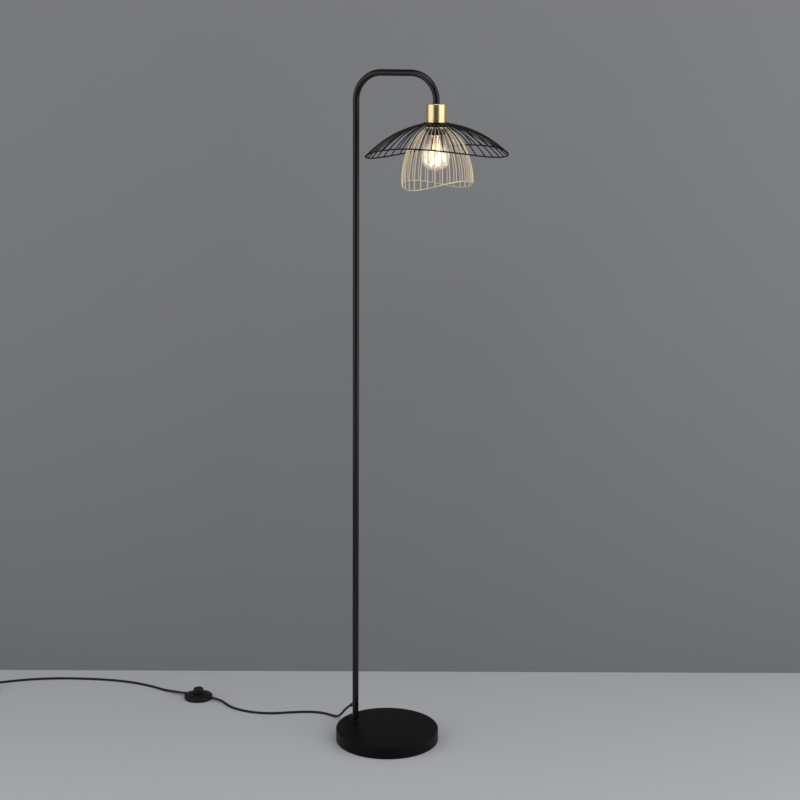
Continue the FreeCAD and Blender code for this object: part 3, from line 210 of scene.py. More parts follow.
@dataclass(frozen=True)
class Finish:
    """A surface finish: two tones, a gloss range and a fine relief."""

    name: str
    light: Colour
    dark: Colour
    roughness: tuple[float, float]
    metallic: float = 0.0
    grain_scale: float = 900.0
    blotch_scale: float = 30.0
    wear: float = 0.5
    relief: float = 0.00002
    coat: float = 0.0
    specular: float = 0.5
    turned: bool = False

    def build(self) -> bpy.types.Material:
        """Build the material with its nodes.

        Returns:
            The new material.
        """
        material = bpy.data.materials.new(self.name)
        material.use_nodes = True
        tree = material.node_tree
        shader = tree.nodes["Principled BSDF"]
        shader.inputs["Metallic"].default_value = self.metallic
        shader.inputs["Coat Weight"].default_value = self.coat
        shader.inputs["Specular IOR Level"].default_value = self.specular
        group = tree.nodes.new("ShaderNodeGroup")
        group.node_tree = BRUSH if self.turned else GRAIN
        if self.turned:
            tone, height = group.outputs["Lines"], group.outputs["Height"]
        else:
            group.inputs["Grain Scale"].default_value = self.grain_scale
            group.inputs["Blotch Scale"].default_value = self.blotch_scale
            group.inputs["Wear"].default_value = self.wear
            tone, height = group.outputs["Blotch"], group.outputs["Relief"]
        mix = tree.nodes.new("ShaderNodeMix")
        mix.data_type = "RGBA"
        mix.inputs["A"].default_value = (*self.dark, 1.0)
        mix.inputs["B"].default_value = (*self.light, 1.0)
        gloss = tree.nodes.new("ShaderNodeMapRange")
        gloss.inputs["To Min"].default_value = self.roughness[0]
        gloss.inputs["To Max"].default_value = self.roughness[1]
        bump = tree.nodes.new("ShaderNodeBump")
        bump.inputs["Distance"].default_value = self.relief
        bump.inputs["Strength"].default_value = 1.0
        tree.links.new(tone, mix.inputs["Factor"])
        tree.links.new(tone, gloss.inputs["Value"])
        tree.links.new(height, bump.inputs["Height"])
        tree.links.new(mix.outputs["Result"], shader.inputs["Base Color"])
        tree.links.new(gloss.outputs["Result"], shader.inputs["Roughness"])
        tree.links.new(bump.outputs["Normal"], shader.inputs["Normal"])
        return material


@dataclass(frozen=True)
class GlassFinish:
    """Clear blown glass with soft upright ripples and a warm cast; with glow set, it also carries a painted
    glow (emission in the glass).
    """

    name: str
    tint: Colour
    ripples: float
    depth: float
    # painted glow settings: the glass's own emission, its colour, and the heights where it rises at the foot
    # and fades towards the neck
    glow: float = 0.0
    glow_colour: Colour = (1.0, 0.87, 0.66)
    glow_foot: float = 1.288
    glow_rise: float = 1.308
    glow_low: float = 1.318
    glow_high: float = 1.358

    def build(self) -> bpy.types.Material:
        """Build the material with its nodes.

        Returns:
            The new material.
        """
        material = bpy.data.materials.new(self.name)
        material.use_nodes = True
        tree = material.node_tree
        shader = tree.nodes["Principled BSDF"]
        shader.inputs["Transmission Weight"].default_value = 1.0
        shader.inputs["IOR"].default_value = 1.45
        place = tree.nodes.new("ShaderNodeTexCoord")
        stretch = tree.nodes.new("ShaderNodeVectorMath")
        stretch.operation = "MULTIPLY"
        stretch.inputs[1].default_value = (self.ripples, self.ripples, self.ripples / 6)
        noise = tree.nodes.new("ShaderNodeTexNoise")
        noise.inputs["Scale"].default_value = 1.0
        noise.inputs["Detail"].default_value = 1.5
        bump = tree.nodes.new("ShaderNodeBump")
        bump.inputs["Distance"].default_value = self.depth
        gloss = tree.nodes.new("ShaderNodeMapRange")
        gloss.inputs["To Min"].default_value = 0.01
        gloss.inputs["To Max"].default_value = 0.05
        tone = tree.nodes.new("ShaderNodeMix")
        tone.data_type = "RGBA"
        tone.inputs["A"].default_value = (*self.tint, 1.0)
        tone.inputs["B"].default_value = (1.0, 1.0, 1.0, 1.0)
        tree.links.new(place.outputs["Object"], stretch.inputs[0])
        tree.links.new(stretch.outputs["Vector"], noise.inputs["Vector"])
        tree.links.new(noise.outputs["Fac"], bump.inputs["Height"])
        tree.links.new(noise.outputs["Fac"], gloss.inputs["Value"])
        tree.links.new(noise.outputs["Fac"], tone.inputs["Factor"])
        tree.links.new(tone.outputs["Result"], shader.inputs["Base Color"])
        tree.links.new(gloss.outputs["Result"], shader.inputs["Roughness"])
        tree.links.new(bump.outputs["Normal"], shader.inputs["Normal"])
        # painted glow: the glass emits light as if lit through by the filaments
        if self.glow > 0:
            self.paint_glow(tree, shader, place, noise)
        return material

    def paint_glow(self, tree: bpy.types.NodeTree, shader: bpy.types.Node, place: bpy.types.Node,
                 noise: bpy.types.Node) -> None:
        """Paint a glow into the glass in place of the filaments' light: painted light, strongest low down and
        facing the viewer.

        Args:
            tree: The material's nodes.
            shader: Its shader.
            place: Its coordinates.
            noise: The ripples that streak the light.
        """
        height = tree.nodes.new("ShaderNodeSeparateXYZ")
        fade = tree.nodes.new("ShaderNodeMapRange")
        fade.interpolation_type = "SMOOTHSTEP"
        fade.inputs["From Min"].default_value = self.glow_low
        fade.inputs["From Max"].default_value = self.glow_high
        fade.inputs["To Min"].default_value = self.glow
        fade.inputs["To Max"].default_value = 0.0
        streaks = tree.nodes.new("ShaderNodeMapRange")
        streaks.inputs["From Min"].default_value = 0.35
        streaks.inputs["From Max"].default_value = 0.65
        streaks.inputs["To Min"].default_value = 0.1
        foot = tree.nodes.new("ShaderNodeMapRange")
        foot.interpolation_type = "SMOOTHSTEP"
        foot.inputs["From Min"].default_value = self.glow_foot
        foot.inputs["From Max"].default_value = self.glow_rise
        foot.inputs["To Min"].default_value = 0.25
        # painted light that follows the viewer: the glow is brighter where the glass faces the camera
        facing = tree.nodes.new("ShaderNodeLayerWeight")
        facing.inputs["Blend"].default_value = 0.5
        front = tree.nodes.new("ShaderNodeMapRange")
        front.inputs["To Min"].default_value = 1.0
        front.inputs["To Max"].default_value = 0.0
        tree.links.new(place.outputs["Object"], height.inputs["Vector"])
        tree.links.new(height.outputs["Z"], fade.inputs["Value"])
        tree.links.new(height.outputs["Z"], foot.inputs["Value"])
        tree.links.new(noise.outputs["Fac"], streaks.inputs["Value"])
        tree.links.new(facing.outputs["Facing"], front.inputs["Value"])
        strength = fade.outputs["Result"]
        middle = front.outputs["Result"]
        for share in (streaks.outputs["Result"], foot.outputs["Result"], middle, middle, middle):
            product = tree.nodes.new("ShaderNodeMath")
            product.operation = "MULTIPLY"
            tree.links.new(strength, product.inputs[0])
            tree.links.new(share, product.inputs[1])
            strength = product.outputs["Value"]
        shader.inputs["Emission Color"].default_value = (*self.glow_colour, 1.0)
        tree.links.new(strength, shader.inputs["Emission Strength"])


@dataclass(frozen=True)
class GlowFinish:
    """A lit filament stick, a little uneven along its length."""

    name: str
    hot: Colour
    warm: Colour
    strength: float

    def build(self) -> bpy.types.Material:
        """Build the material with its nodes.

        Returns:
            The new material.
        """
        material = bpy.data.materials.new(self.name)
        material.use_nodes = True
        tree = material.node_tree
        shader = tree.nodes["Principled BSDF"]
        shader.inputs["Base Color"].default_value = (*self.warm, 1.0)
        shader.inputs["Emission Strength"].default_value = self.strength
        place = tree.nodes.new("ShaderNodeTexCoord")
        noise = tree.nodes.new("ShaderNodeTexNoise")
        noise.inputs["Scale"].default_value = 400.0
        mix = tree.nodes.new("ShaderNodeMix")
        mix.data_type = "RGBA"
        mix.inputs["A"].default_value = (*self.warm, 1.0)
        mix.inputs["B"].default_value = (*self.hot, 1.0)
        tree.links.new(place.outputs["Object"], noise.inputs["Vector"])
        tree.links.new(noise.outputs["Fac"], mix.inputs["Factor"])
        tree.links.new(mix.outputs["Result"], shader.inputs["Emission Color"])
        return material


class Finishes:
    """Every finish of the lamp, built once."""

    def __init__(self) -> None:
        """Build the materials."""
        self.powder_black = Finish(
            "powder_black", (0.0040, 0.0040, 0.0045), (0.0022, 0.0022, 0.0026), (0.22, 0.3),
            grain_scale=2600, blotch_scale=18, relief=0.00002, specular=0.35).build()
        self.base_black = Finish(
            "base_black", (0.004, 0.004, 0.004), (0.0025, 0.0025, 0.0025), (0.42, 0.5),
            grain_scale=2200, blotch_scale=12, relief=0.00004, specular=0.12).build()
        self.wire_black = Finish(
            "wire_black", (0.004, 0.004, 0.004), (0.002, 0.002, 0.002), (0.45, 0.55),
            grain_scale=3000, blotch_scale=40, relief=0.00002, specular=0.25).build()
        self.gold_wire = Finish(
            "gold_wire", (0.92, 0.80, 0.60), (0.80, 0.68, 0.48), (0.35, 0.45), metallic=0.6,
            grain_scale=2600, blotch_scale=25, relief=0.00002).build()
        self.satin_brass = Finish(
            "satin_brass", (0.97, 0.74, 0.42), (0.95, 0.71, 0.39), (0.27, 0.29), metallic=1.0,
            relief=0.0000004, turned=True).build()
        self.holder_black = Finish(
            "holder_black", (0.008, 0.007, 0.007), (0.005, 0.005, 0.005), (0.35, 0.45),
            grain_scale=1500, blotch_scale=60, relief=0.00003, specular=0.35).build()
        self.porcelain = Finish(
            "porcelain", (0.82, 0.80, 0.75), (0.74, 0.71, 0.66), (0.15, 0.25),
            grain_scale=500, blotch_scale=80, coat=0.3).build()
        self.zinc = Finish(
            "zinc", (0.62, 0.62, 0.60), (0.48, 0.48, 0.47), (0.28, 0.42), metallic=1.0,
            grain_scale=1500, blotch_scale=150).build()
        self.rolled_metal = Finish(
            "rolled_metal", (0.75, 0.74, 0.72), (0.60, 0.59, 0.57), (0.25, 0.35), metallic=1.0,
            turned=True).build()
        self.cast_iron = Finish(
            "cast_iron", (0.12, 0.12, 0.12), (0.07, 0.07, 0.075), (0.6, 0.75), metallic=0.6,
            grain_scale=700, blotch_scale=25, relief=0.0003).build()
        self.rubber = Finish(
            "pad_rubber", (0.020, 0.020, 0.020), (0.012, 0.012, 0.012), (0.7, 0.85),
            grain_scale=1200, blotch_scale=40, relief=0.00008).build()
        self.lead_sheath = Finish(
            "lead_sheath", (0.007, 0.007, 0.007), (0.004, 0.004, 0.004), (0.42, 0.55),
            grain_scale=1800, blotch_scale=50, relief=0.00004, specular=0.3).build()
        self.core_brown = Finish(
            "core_brown", (0.20, 0.09, 0.03), (0.15, 0.06, 0.02), (0.4, 0.5), blotch_scale=300).build()
        self.switch_black = Finish(
            "switch_black", (0.008, 0.008, 0.008), (0.005, 0.005, 0.005), (0.4, 0.52),
            grain_scale=1600, blotch_scale=45, relief=0.00004, specular=0.3).build()
        # the bulb glass carries a painted glow: emission in the glass in place of the filaments' light
        # shining through it
        self.glass = GlassFinish("bulb_clear_painted_glow", (1.0, 0.93, 0.82), 260.0, 0.0006, glow=0.75).build()
        self.stem_glass = GlassFinish("stem_clear", (1.0, 0.97, 0.9), 120.0, 0.0002).build()
        self.glow = GlowFinish("filament_glow", (1.0, 0.86, 0.62), (1.0, 0.66, 0.34), 1.7).build()


# ---------------------------------------------------------------------------
# Mesh helpers
# ---------------------------------------------------------------------------

SHARP_ANGLE = math.radians(32)


def finish_mesh(name: str, mesh: bpy.types.Mesh, material: bpy.types.Material) -> bpy.types.Object:
    """Shade a mesh smooth with sharp edges kept, and put it in the scene.

    Args:
        name: The piece's name.
        mesh: The finished mesh.
        material: Its finish.

    Returns:
        The new object, at the origin.
    """
    shape = bmesh.new()
    shape.from_mesh(mesh)
    bmesh.ops.remove_doubles(shape, verts=shape.verts, dist=1e-7)
    bmesh.ops.recalc_face_normals(shape, faces=shape.faces)
    for face in shape.faces:
        face.smooth = True
    for edge in shape.edges:
        edge.smooth = len(edge.link_faces) == 2 and edge.calc_face_angle(0.0) < SHARP_ANGLE
    shape.to_mesh(mesh)
    shape.free()
    mesh.materials.clear()
    mesh.materials.append(material)
    piece = bpy.data.objects.new(name, mesh)
    bpy.context.scene.collection.objects.link(piece)
    return piece


def rounded(profile: Sequence[tuple[float, float]], radii: dict[int, float],
            steps: int = 6) -> list[tuple[float, float]]:
    """Round chosen corners of a closed profile.

    Args:
        profile: Corners as (radius, height).
        radii: The rounding of each chosen corner, by its number.
        steps: Points along each rounding.

    Returns:
        The new corners.
    """
    points: list[tuple[float, float]] = []
    for number, corner in enumerate(profile):
        if number not in radii:
            points.append(corner)
            continue
        here = Vector(corner)
        back = (Vector(profile[number - 1]) - here).normalized()
        ahead = (Vector(profile[(number + 1) % len(profile)]) - here).normalized()
        half = back.angle(ahead) / 2
        reach = radii[number] / math.tan(half)
        centre = here + (back + ahead).normalized() * (radii[number] / math.sin(half))
        first, last = here + back * reach - centre, here + ahead * reach - centre
        sweep = first.angle_signed(last)
        for step in range(steps + 1):
            turned = Matrix.Rotation(-sweep * step / steps, 2) @ first
            points.append(tuple(centre + turned))
    return points


def lathe(name: str, profile: Sequence[tuple[float, float]], centre: tuple[float, float],
          material: bpy.types.Material, segments: int = 96,
          ripple: Optional[Callable[[float, float], float]] = None) -> bpy.types.Object:
    """Turn a closed profile round an upright axis.

    Args:
        name: The piece's name.
        profile: Corners as (radius, height), in metres.
        centre: The axis in plan.
        material: The finish.
        segments: Steps round the axis.
        ripple: Gives a factor for the radius from the angle and the height.

    Returns:
        The new object.
    """
    shape = bmesh.new()
    rings = []
    for step in range(segments):
        angle = 2 * math.pi * step / segments
        ring = []
        for radius, height in profile:
            factor = ripple(angle, height) if ripple else 1.0
            ring.append(shape.verts.new((centre[0] + radius * factor * math.cos(angle),
                                         centre[1] + radius * factor * math.sin(angle), height)))
        rings.append(ring)
    count = len(profile)
    for step in range(segments):
        here, ahead = rings[step], rings[(step + 1) % segments]
        for corner in range(count):
            following = (corner + 1) % count
            if max(profile[corner][0], profile[following][0]) < 1e-7:
                continue
            loop = [here[corner], ahead[corner], ahead[following], here[following]]
            shape.faces.new(loop)
    bmesh.ops.remove_doubles(shape, verts=shape.verts, dist=1e-7)
    mesh = bpy.data.meshes.new(name)
    shape.to_mesh(mesh)
    shape.free()
    return finish_mesh(name, mesh, material)


def loft(name: str, rings: Sequence[Sequence[Vector]], material: bpy.types.Material) -> bpy.types.Object:
    """Skin a row of closed rings and cap both ends.

    Args:
        name: The piece's name.
        rings: Rings of equally many points.
        material: The finish.

    Returns:
        The new object.
    """
    shape = bmesh.new()
    rows = [[shape.verts.new(point) for point in ring] for ring in rings]
    count = len(rows[0])
    for here, ahead in zip(rows, rows[1:]):
        for step in range(count):
            following = (step + 1) % count
            shape.faces.new([here[step], here[following], ahead[following], ahead[step]])
    shape.faces.new(rows[0][::-1])
    shape.faces.new(rows[-1])
    mesh = bpy.data.meshes.new(name)
    shape.to_mesh(mesh)
    shape.free()
    return finish_mesh(name, mesh, material)


def show(piece: bpy.types.Object, body: str, slot: Slot, *nodes: str) -> None:
    """Let a piece ride on a body in place of the solids it stands for.

    Args:
        piece: The new piece.
        body: The body that carries it.
        slot: The record's slot for its finish; not used.
        *nodes: The solids that it replaces.
    """
    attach(piece, body)
    if nodes:
        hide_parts(*nodes)
    log.info("%s rides on %s", piece.name, body)


def dress(material: bpy.types.Material, nodes: Iterable[str]) -> None:
    """Give carried-over solids a finish.

    Args:
        material: The finish.
        nodes: The solids' names.
    """
    for node in nodes:
        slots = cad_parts[node].material_slots
        for number in range(len(slots)):
            slots[number].material = material
        log.info("%s keeps its solid", node)


# ---------------------------------------------------------------------------
# Geometry trees
# ---------------------------------------------------------------------------


class Field:
    """A number or a vector in a geometry tree, with plain arithmetic."""

    def __init__(self, tree: "GeometryTree", socket: bpy.types.NodeSocket) -> None:
        """Hold a socket of a tree."""
        self.tree = tree
        self.socket = socket

    def __add__(self, other: "Field | float") -> "Field":
        """The sum."""
        return self.tree.work("ADD", self, other)

    def __sub__(self, other: "Field | float") -> "Field":
        """The difference."""
        return self.tree.work("SUBTRACT", self, other)

    def __mul__(self, other: "Field | float") -> "Field":
        """The product."""
        return self.tree.work("MULTIPLY", self, other)

    def __truediv__(self, other: "Field | float") -> "Field":
        """The quotient."""
        return self.tree.work("DIVIDE", self, other)


class GeometryTree:
    """A geometry node tree with named inputs that ends in a finished mesh."""

    def __init__(self, name: str) -> None:
        """Make an empty tree.

        Args:
            name: The tree's name.
        """
        self.tree = bpy.data.node_groups.new(name, "GeometryNodeTree")
        self.tree.interface.new_socket("Geometry", in_out="OUTPUT", socket_type="NodeSocketGeometry")
        self.source = self.tree.nodes.new("NodeGroupInput")
        self.sink = self.tree.nodes.new("NodeGroupOutput")
        self.identifiers: dict[str, str] = {}

    def value(self, name: str, kind: str = "NodeSocketFloat") -> Field:
        """A named input.

        Args:
            name: The input's name.
            kind: Its socket type.

        Returns:
            The input as a field.
        """
        socket = self.tree.interface.new_socket(name, in_out="INPUT", socket_type=kind)
        self.identifiers[name] = socket.identifier
        return Field(self, self.source.outputs[socket.identifier])

    def feed(self, socket: bpy.types.NodeSocket,
             content: "Field | bpy.types.NodeSocket | float | tuple") -> None:
        """Give a socket a field, another node's output or a constant."""
        if isinstance(content, Field):
            content = content.socket
        if isinstance(content, bpy.types.NodeSocket):
            self.tree.links.new(content, socket)
        else:
            socket.default_value = content

    def node(self, kind: str, inputs: dict, **settings: object) -> bpy.types.Node:
        """Add a node.

        Args:
            kind: The node's type name.
            inputs: Contents by socket name or number.
            **settings: Properties of the node.

        Returns:
            The new node.
        """
        node = self.tree.nodes.new(kind)
        for key, content in settings.items():
            setattr(node, key, content)
        for key, content in inputs.items():
            self.feed(node.inputs[key], content)
        return node

    def work(self, operation: str, *operands: "Field | float") -> Field:
        """A number worked out from others.

        Args:
            operation: The operation's name.
            *operands: Its operands.

        Returns:
            The result.
        """
        node = self.node("ShaderNodeMath", dict(enumerate(operands)), operation=operation)
        return Field(self, node.outputs[0])

    def point(self, x: "Field | float", y: "Field | float", z: "Field | float") -> Field:
        """A vector of three numbers."""
        node = self.node("ShaderNodeCombineXYZ", {"X": x, "Y": y, "Z": z})
        return Field(self, node.outputs[0])

    def round_point(self, angle: Field, radius: Field, height: "Field | float") -> Field:
        """The point at an angle round the upright axis and a distance from it."""
        return self.point(self.work("COSINE", angle) * radius, self.work("SINE", angle) * radius, height)

    def vector(self, operation: str, *operands: "Field | tuple") -> Field:
        """A vector worked out from others.

        Args:
            operation: The operation's name.
            *operands: Its operands.

        Returns:
            The result, a vector.
        """
        node = self.node("ShaderNodeVectorMath", dict(enumerate(operands)), operation=operation)
        return Field(self, node.outputs["Vector"])

    def scaled(self, content: Field, factor: "Field | float") -> Field:
        """A vector times a number."""
        node = self.node("ShaderNodeVectorMath", {0: content, "Scale": factor}, operation="SCALE")
        return Field(self, node.outputs["Vector"])

    def finish(self, geometry: bpy.types.NodeSocket, material: Field) -> None:
        """Realize what the tree has made and give it its finish.

        Args:
            geometry: The geometry so far.
            material: The finish.
        """
        real = self.node("GeometryNodeRealizeInstances", {"Geometry": geometry})
        smooth = self.node("GeometryNodeSetShadeSmooth", {"Geometry": real.outputs["Geometry"]})
        coated = self.node("GeometryNodeSetMaterial",
                           {"Geometry": smooth.outputs["Geometry"], "Material": material})
        self.feed(self.sink.inputs["Geometry"], coated.outputs["Geometry"])

    def grow(self, name: str, values: dict[str, object]) -> bpy.types.Object:
        """Run the tree once and keep its result as a plain mesh.

        Args:
            name: The piece's name.
            values: Every input's value by its name.

        Returns:
            The new object.
        """
        seed = bpy.data.objects.new(f"{name}_seed", bpy.data.meshes.new(f"{name}_seed"))
        bpy.context.scene.collection.objects.link(seed)
        modifier = seed.modifiers.new("grow", "NODES")
        modifier.node_group = self.tree
        for label, content in values.items():
            modifier[self.identifiers[label]] = content
        graph = bpy.context.evaluated_depsgraph_get()
        mesh = bpy.data.meshes.new_from_object(seed.evaluated_get(graph))
        seed.modifiers.remove(modifier)
        bpy.data.objects.remove(seed)
        mesh.name = name
        piece = bpy.data.objects.new(name, mesh)
        bpy.context.scene.collection.objects.link(piece)
        return piece


WIRE_POINTS = 26
WIRE_SIDES = 10
RIM_POINTS = 240
RIM_SIDES = 12
RIB_SIDES = 8
BEAD_SWELL = 1.12


class HubSurface:
    """Fields for the leaning, waving surface that a wire shade's wires end on."""

    def __init__(self, tree: GeometryTree) -> None:
        """Args:
            tree: The tree that uses the surface.
        """
        self.tree = tree
        self.centre = tree.value("Hub Centre", "NodeSocketVector")
        self.radius = tree.value("Rim Radius")
        self.drop = tree.value("Rim Drop")
        self.wave = tree.value("Wave")
        self.wave_azimuth = tree.value("Wave Azimuth")
        self.lean = tree.value("Lean")
        self.lean_azimuth = tree.value("Lean Azimuth")

    def spot(self, angle: Field, radius: Field, height: Field) -> Field:
        """A point below the hub, leant with the shade.

        Args:
            angle: The angle round the hub.
            radius: The distance from its axis.
            height: The height over its centre.

        Returns:
            The point.
        """
        tree = self.tree
        level = tree.round_point(angle, radius, height)
        hinge = tree.point(tree.work("SINE", self.lean_azimuth),
                           tree.work("COSINE", self.lean_azimuth) * -1.0, 0.0)
        turned = tree.node("ShaderNodeVectorRotate",
                           {"Vector": level, "Axis": hinge, "Angle": self.lean}, rotation_type="AXIS_ANGLE")
        return tree.vector("ADD", Field(tree, turned.outputs[0]), self.centre)

    def rim(self, angle: Field) -> Field:
        """The point of the rim at an angle."""
        tree = self.tree
        swing = tree.work("COSINE", (angle - self.wave_azimuth) * 2.0)
        return self.spot(angle, self.radius, swing * self.wave - self.drop)


def bowed(tree: GeometryTree, start: Field, end: Field, bow: Field, share: Field) -> Field:
    """A point on a shallow arch between two points.

    Args:
        tree: The tree.
        start: The arch's first point.
        end: Its last point.
        bow: Its rise over the straight line.
        share: How far along it the point lies, from 0 to 1.

    Returns:
        The point.
    """
    chord = tree.vector("SUBTRACT", end, start)
    way = tree.vector("NORMALIZE", chord)
    sideways = tree.vector("CROSS_PRODUCT", way, (0.0, 0.0, 1.0))
    up = tree.vector("NORMALIZE", tree.vector("CROSS_PRODUCT", sideways, way))
    rise = share * (share * -1.0 + 1.0) * bow * 4.0
    flat = tree.vector("ADD", start, tree.scaled(chord, share))
    return tree.vector("ADD", flat, tree.scaled(up, rise))


def round_wires(tree: GeometryTree, curves: bpy.types.NodeSocket, thickness: Field,
                sides: int) -> bpy.types.Node:
    """Give curves a round section.

    Args:
        tree: The tree.
        curves: The curves.
        thickness: The wire's radius.
        sides: Points round the wire.

    Returns:
        The node that makes the mesh.
    """
    section = tree.node("GeometryNodeCurvePrimitiveCircle", {"Resolution": sides, "Radius": thickness})
    return tree.node("GeometryNodeCurveToMesh", {
        "Curve": curves,
        "Profile Curve": section.outputs["Curve"],
        "Fill Caps": True,
    })


def build_wire_tree(name: str, shouldered: bool) -> GeometryTree:
    """A crown of bent wires from a hub to a waving rim.

    Args:
        name: The tree's name.
        shouldered: Whether the wires bend over a shoulder on their way.

    Returns:
        The tree.
    """
    tree = GeometryTree(name)
    surface = HubSurface(tree)
    wires = tree.value("Wires", "NodeSocketInt")
    weld_radius = tree.value("Weld Radius")
    weld_height = tree.value("Weld Height")
    hub_radius = tree.value("Hub Radius")
    bow = tree.value("Bow")
    shoulder_radius = tree.value("Shoulder Radius")
    shoulder_drop = tree.value("Shoulder Drop")
    wall_bow = tree.value("Wall Bow")
    thickness = tree.value("Wire Radius")
    material = tree.value("Material", "NodeSocketMaterial")

    spots = tree.node("GeometryNodePoints", {"Count": wires})
    strand = tree.node("GeometryNodeCurvePrimitiveLine", {"End": (0.0, 0.0, 0.1)})
    divided = tree.node("GeometryNodeResampleCurve",
                        {"Curve": strand.outputs["Curve"], "Count": WIRE_POINTS})
    copies = tree.node("GeometryNodeInstanceOnPoints",
                       {"Points": spots.outputs[0], "Instance": divided.outputs["Curve"]})
    real = tree.node("GeometryNodeRealizeInstances", {"Geometry": copies.outputs["Instances"]})

    owner = tree.node("GeometryNodeCurveOfPoint", {})
    number = Field(tree, owner.outputs["Curve Index"])
    along = Field(tree, tree.node("GeometryNodeSplineParameter", {}).outputs["Factor"])
    angle = number * (2 * math.pi) / wires

    def level(radius: Field) -> Field:
        """A point of the weld under the level hub."""
        return tree.vector("ADD", tree.round_point(angle, radius, weld_height), surface.centre)

    start, edge, rim = level(weld_radius), level(hub_radius), surface.rim(angle)
    weld_share = 0.08
    weld_along = tree.work("MINIMUM", along / weld_share, 1.0)
    weld = tree.vector("ADD", start, tree.scaled(tree.vector("SUBTRACT", edge, start), weld_along))
    if shouldered:
        half = (1 + weld_share) / 2
        shoulder = surface.spot(angle, shoulder_radius, shoulder_drop * -1.0)
        crown_along = (along - weld_share) / (half - weld_share)
        wall_along = (along - half) / (1 - half)
        crown = bowed(tree, edge, shoulder, bow, crown_along)
        wall = bowed(tree, shoulder, rim, wall_bow, wall_along)
        past = tree.work("GREATER_THAN", along, half)
        body = mixed(tree, past, crown, wall)
    else:
        body = bowed(tree, edge, rim, bow, (along - weld_share) / (1 - weld_share))
    free = tree.work("GREATER_THAN", along, weld_share)
    place = mixed(tree, free, weld, body)
    bent = tree.node("GeometryNodeSetPosition", {"Geometry": real.outputs["Geometry"], "Position": place})
    wire = round_wires(tree, bent.outputs["Geometry"], thickness, WIRE_SIDES)
    tree.finish(wire.outputs["Mesh"], material)
    return tree


def mixed(tree: GeometryTree, share: Field, first: Field, second: Field) -> Field:
    """A vector between two vectors.

    Args:
        tree: The tree.
        share: 0 for the first, 1 for the second.
        first: The first vector.
        second: The second vector.

    Returns:
        The mix.
    """
    change = tree.scaled(tree.vector("SUBTRACT", second, first), share)
    return tree.vector("ADD", first, change)


def build_rim_tree() -> GeometryTree:
    """A waving rim with a weld bead where each wire meets it.

    Returns:
        The tree.
    """
    tree = GeometryTree("waving_rim")
    surface = HubSurface(tree)
    wires = tree.value("Wires", "NodeSocketInt")
    thickness = tree.value("Wire Radius")
    bead = tree.value("Bead Radius")
    material = tree.value("Material", "NodeSocketMaterial")
    hoop = tree.node("GeometryNodeCurvePrimitiveCircle", {"Resolution": RIM_POINTS, "Radius": 1.0})
    number = Field(tree, tree.node("GeometryNodeInputIndex", {}).outputs[0])
    bent = tree.node("GeometryNodeSetPosition", {
        "Geometry": hoop.outputs["Curve"],
        "Position": surface.rim(number * (2 * math.pi / RIM_POINTS)),
    })
    wire = round_wires(tree, bent.outputs["Geometry"], thickness, RIM_SIDES)
    places = surface.rim(number * (2 * math.pi) / wires)
    spots = tree.node("GeometryNodePoints", {"Count": wires, "Position": places})
    ball = tree.node("GeometryNodeMeshIcoSphere", {"Radius": bead, "Subdivisions": 2})
    beads = tree.node("GeometryNodeInstanceOnPoints",
                      {"Points": spots.outputs[0], "Instance": ball.outputs["Mesh"]})
    both = tree.node("GeometryNodeJoinGeometry", {"Geometry": beads.outputs["Instances"]})
    tree.feed(both.inputs["Geometry"], wire.outputs["Mesh"])
    tree.finish(both.outputs["Geometry"], material)
    return tree


def build_rib_tree() -> GeometryTree:
    """Gripping ribs round a ring nut.

    Returns:
        The tree.
    """
    tree = GeometryTree("grip_ribs")
    centre = tree.value("Centre", "NodeSocketVector")
    ribs = tree.value("Ribs", "NodeSocketInt")
    radius = tree.value("Ring Radius")
    width = tree.value("Rib Width")
    height = tree.value("Rib Height")
    material = tree.value("Material", "NodeSocketMaterial")
    number = Field(tree, tree.node("GeometryNodeInputIndex", {}).outputs[0])
    angle = number * (2 * math.pi) / ribs
    place = tree.vector("ADD", centre, tree.round_point(angle, radius, 0.0))
    spots = tree.node("GeometryNodePoints", {"Count": ribs, "Position": place})
    rib = tree.node("GeometryNodeMeshCylinder",
                    {"Vertices": RIB_SIDES, "Radius": width / 2.0, "Depth": height})
    copies = tree.node("GeometryNodeInstanceOnPoints", {
        "Points": spots.outputs[0],
        "Instance": rib.outputs["Mesh"],
        "Rotation": tree.point(0.0, 0.0, angle),
    })
    tree.finish(copies.outputs["Instances"], material)
    return tree


# ---------------------------------------------------------------------------
# Sub-assemblies
# ---------------------------------------------------------------------------


@dataclass
class Base:
    """The weighted round base under its powder-coated cover."""

    radius: float = 0.116
    height: float = 0.030
    lift: float = 0.001
    wall: float = 0.0015
    edge: float = 0.003
    hole: float = 0.0043

    def build(self, finishes: Finishes) -> None:
        """Build the cover and dress what lies under it.

        Args:
            finishes: The lamp's finishes.
        """
        under = self.height - self.wall
        profile = rounded([
            (0.0, under),
            (self.radius - self.wall, under),
            (self.radius - self.wall, self.lift),
            (self.radius, self.lift),
            (self.radius, self.height),
            (0.0, self.height),
        ], {1: self.edge / 2, 4: self.edge}, steps=8)
        cover = lathe("cover_top", profile, (0.0, 0.0), finishes.base_black, segments=160)
        show(cover, LAMP_BODY, Slot.BLACK_PAINT, "base_cover")
        dress(finishes.cast_iron, ["base_weight"])
        dress(finishes.rubber, ["base_pad"])
        dress(finishes.zinc, ["base_screw", "base_washer"])


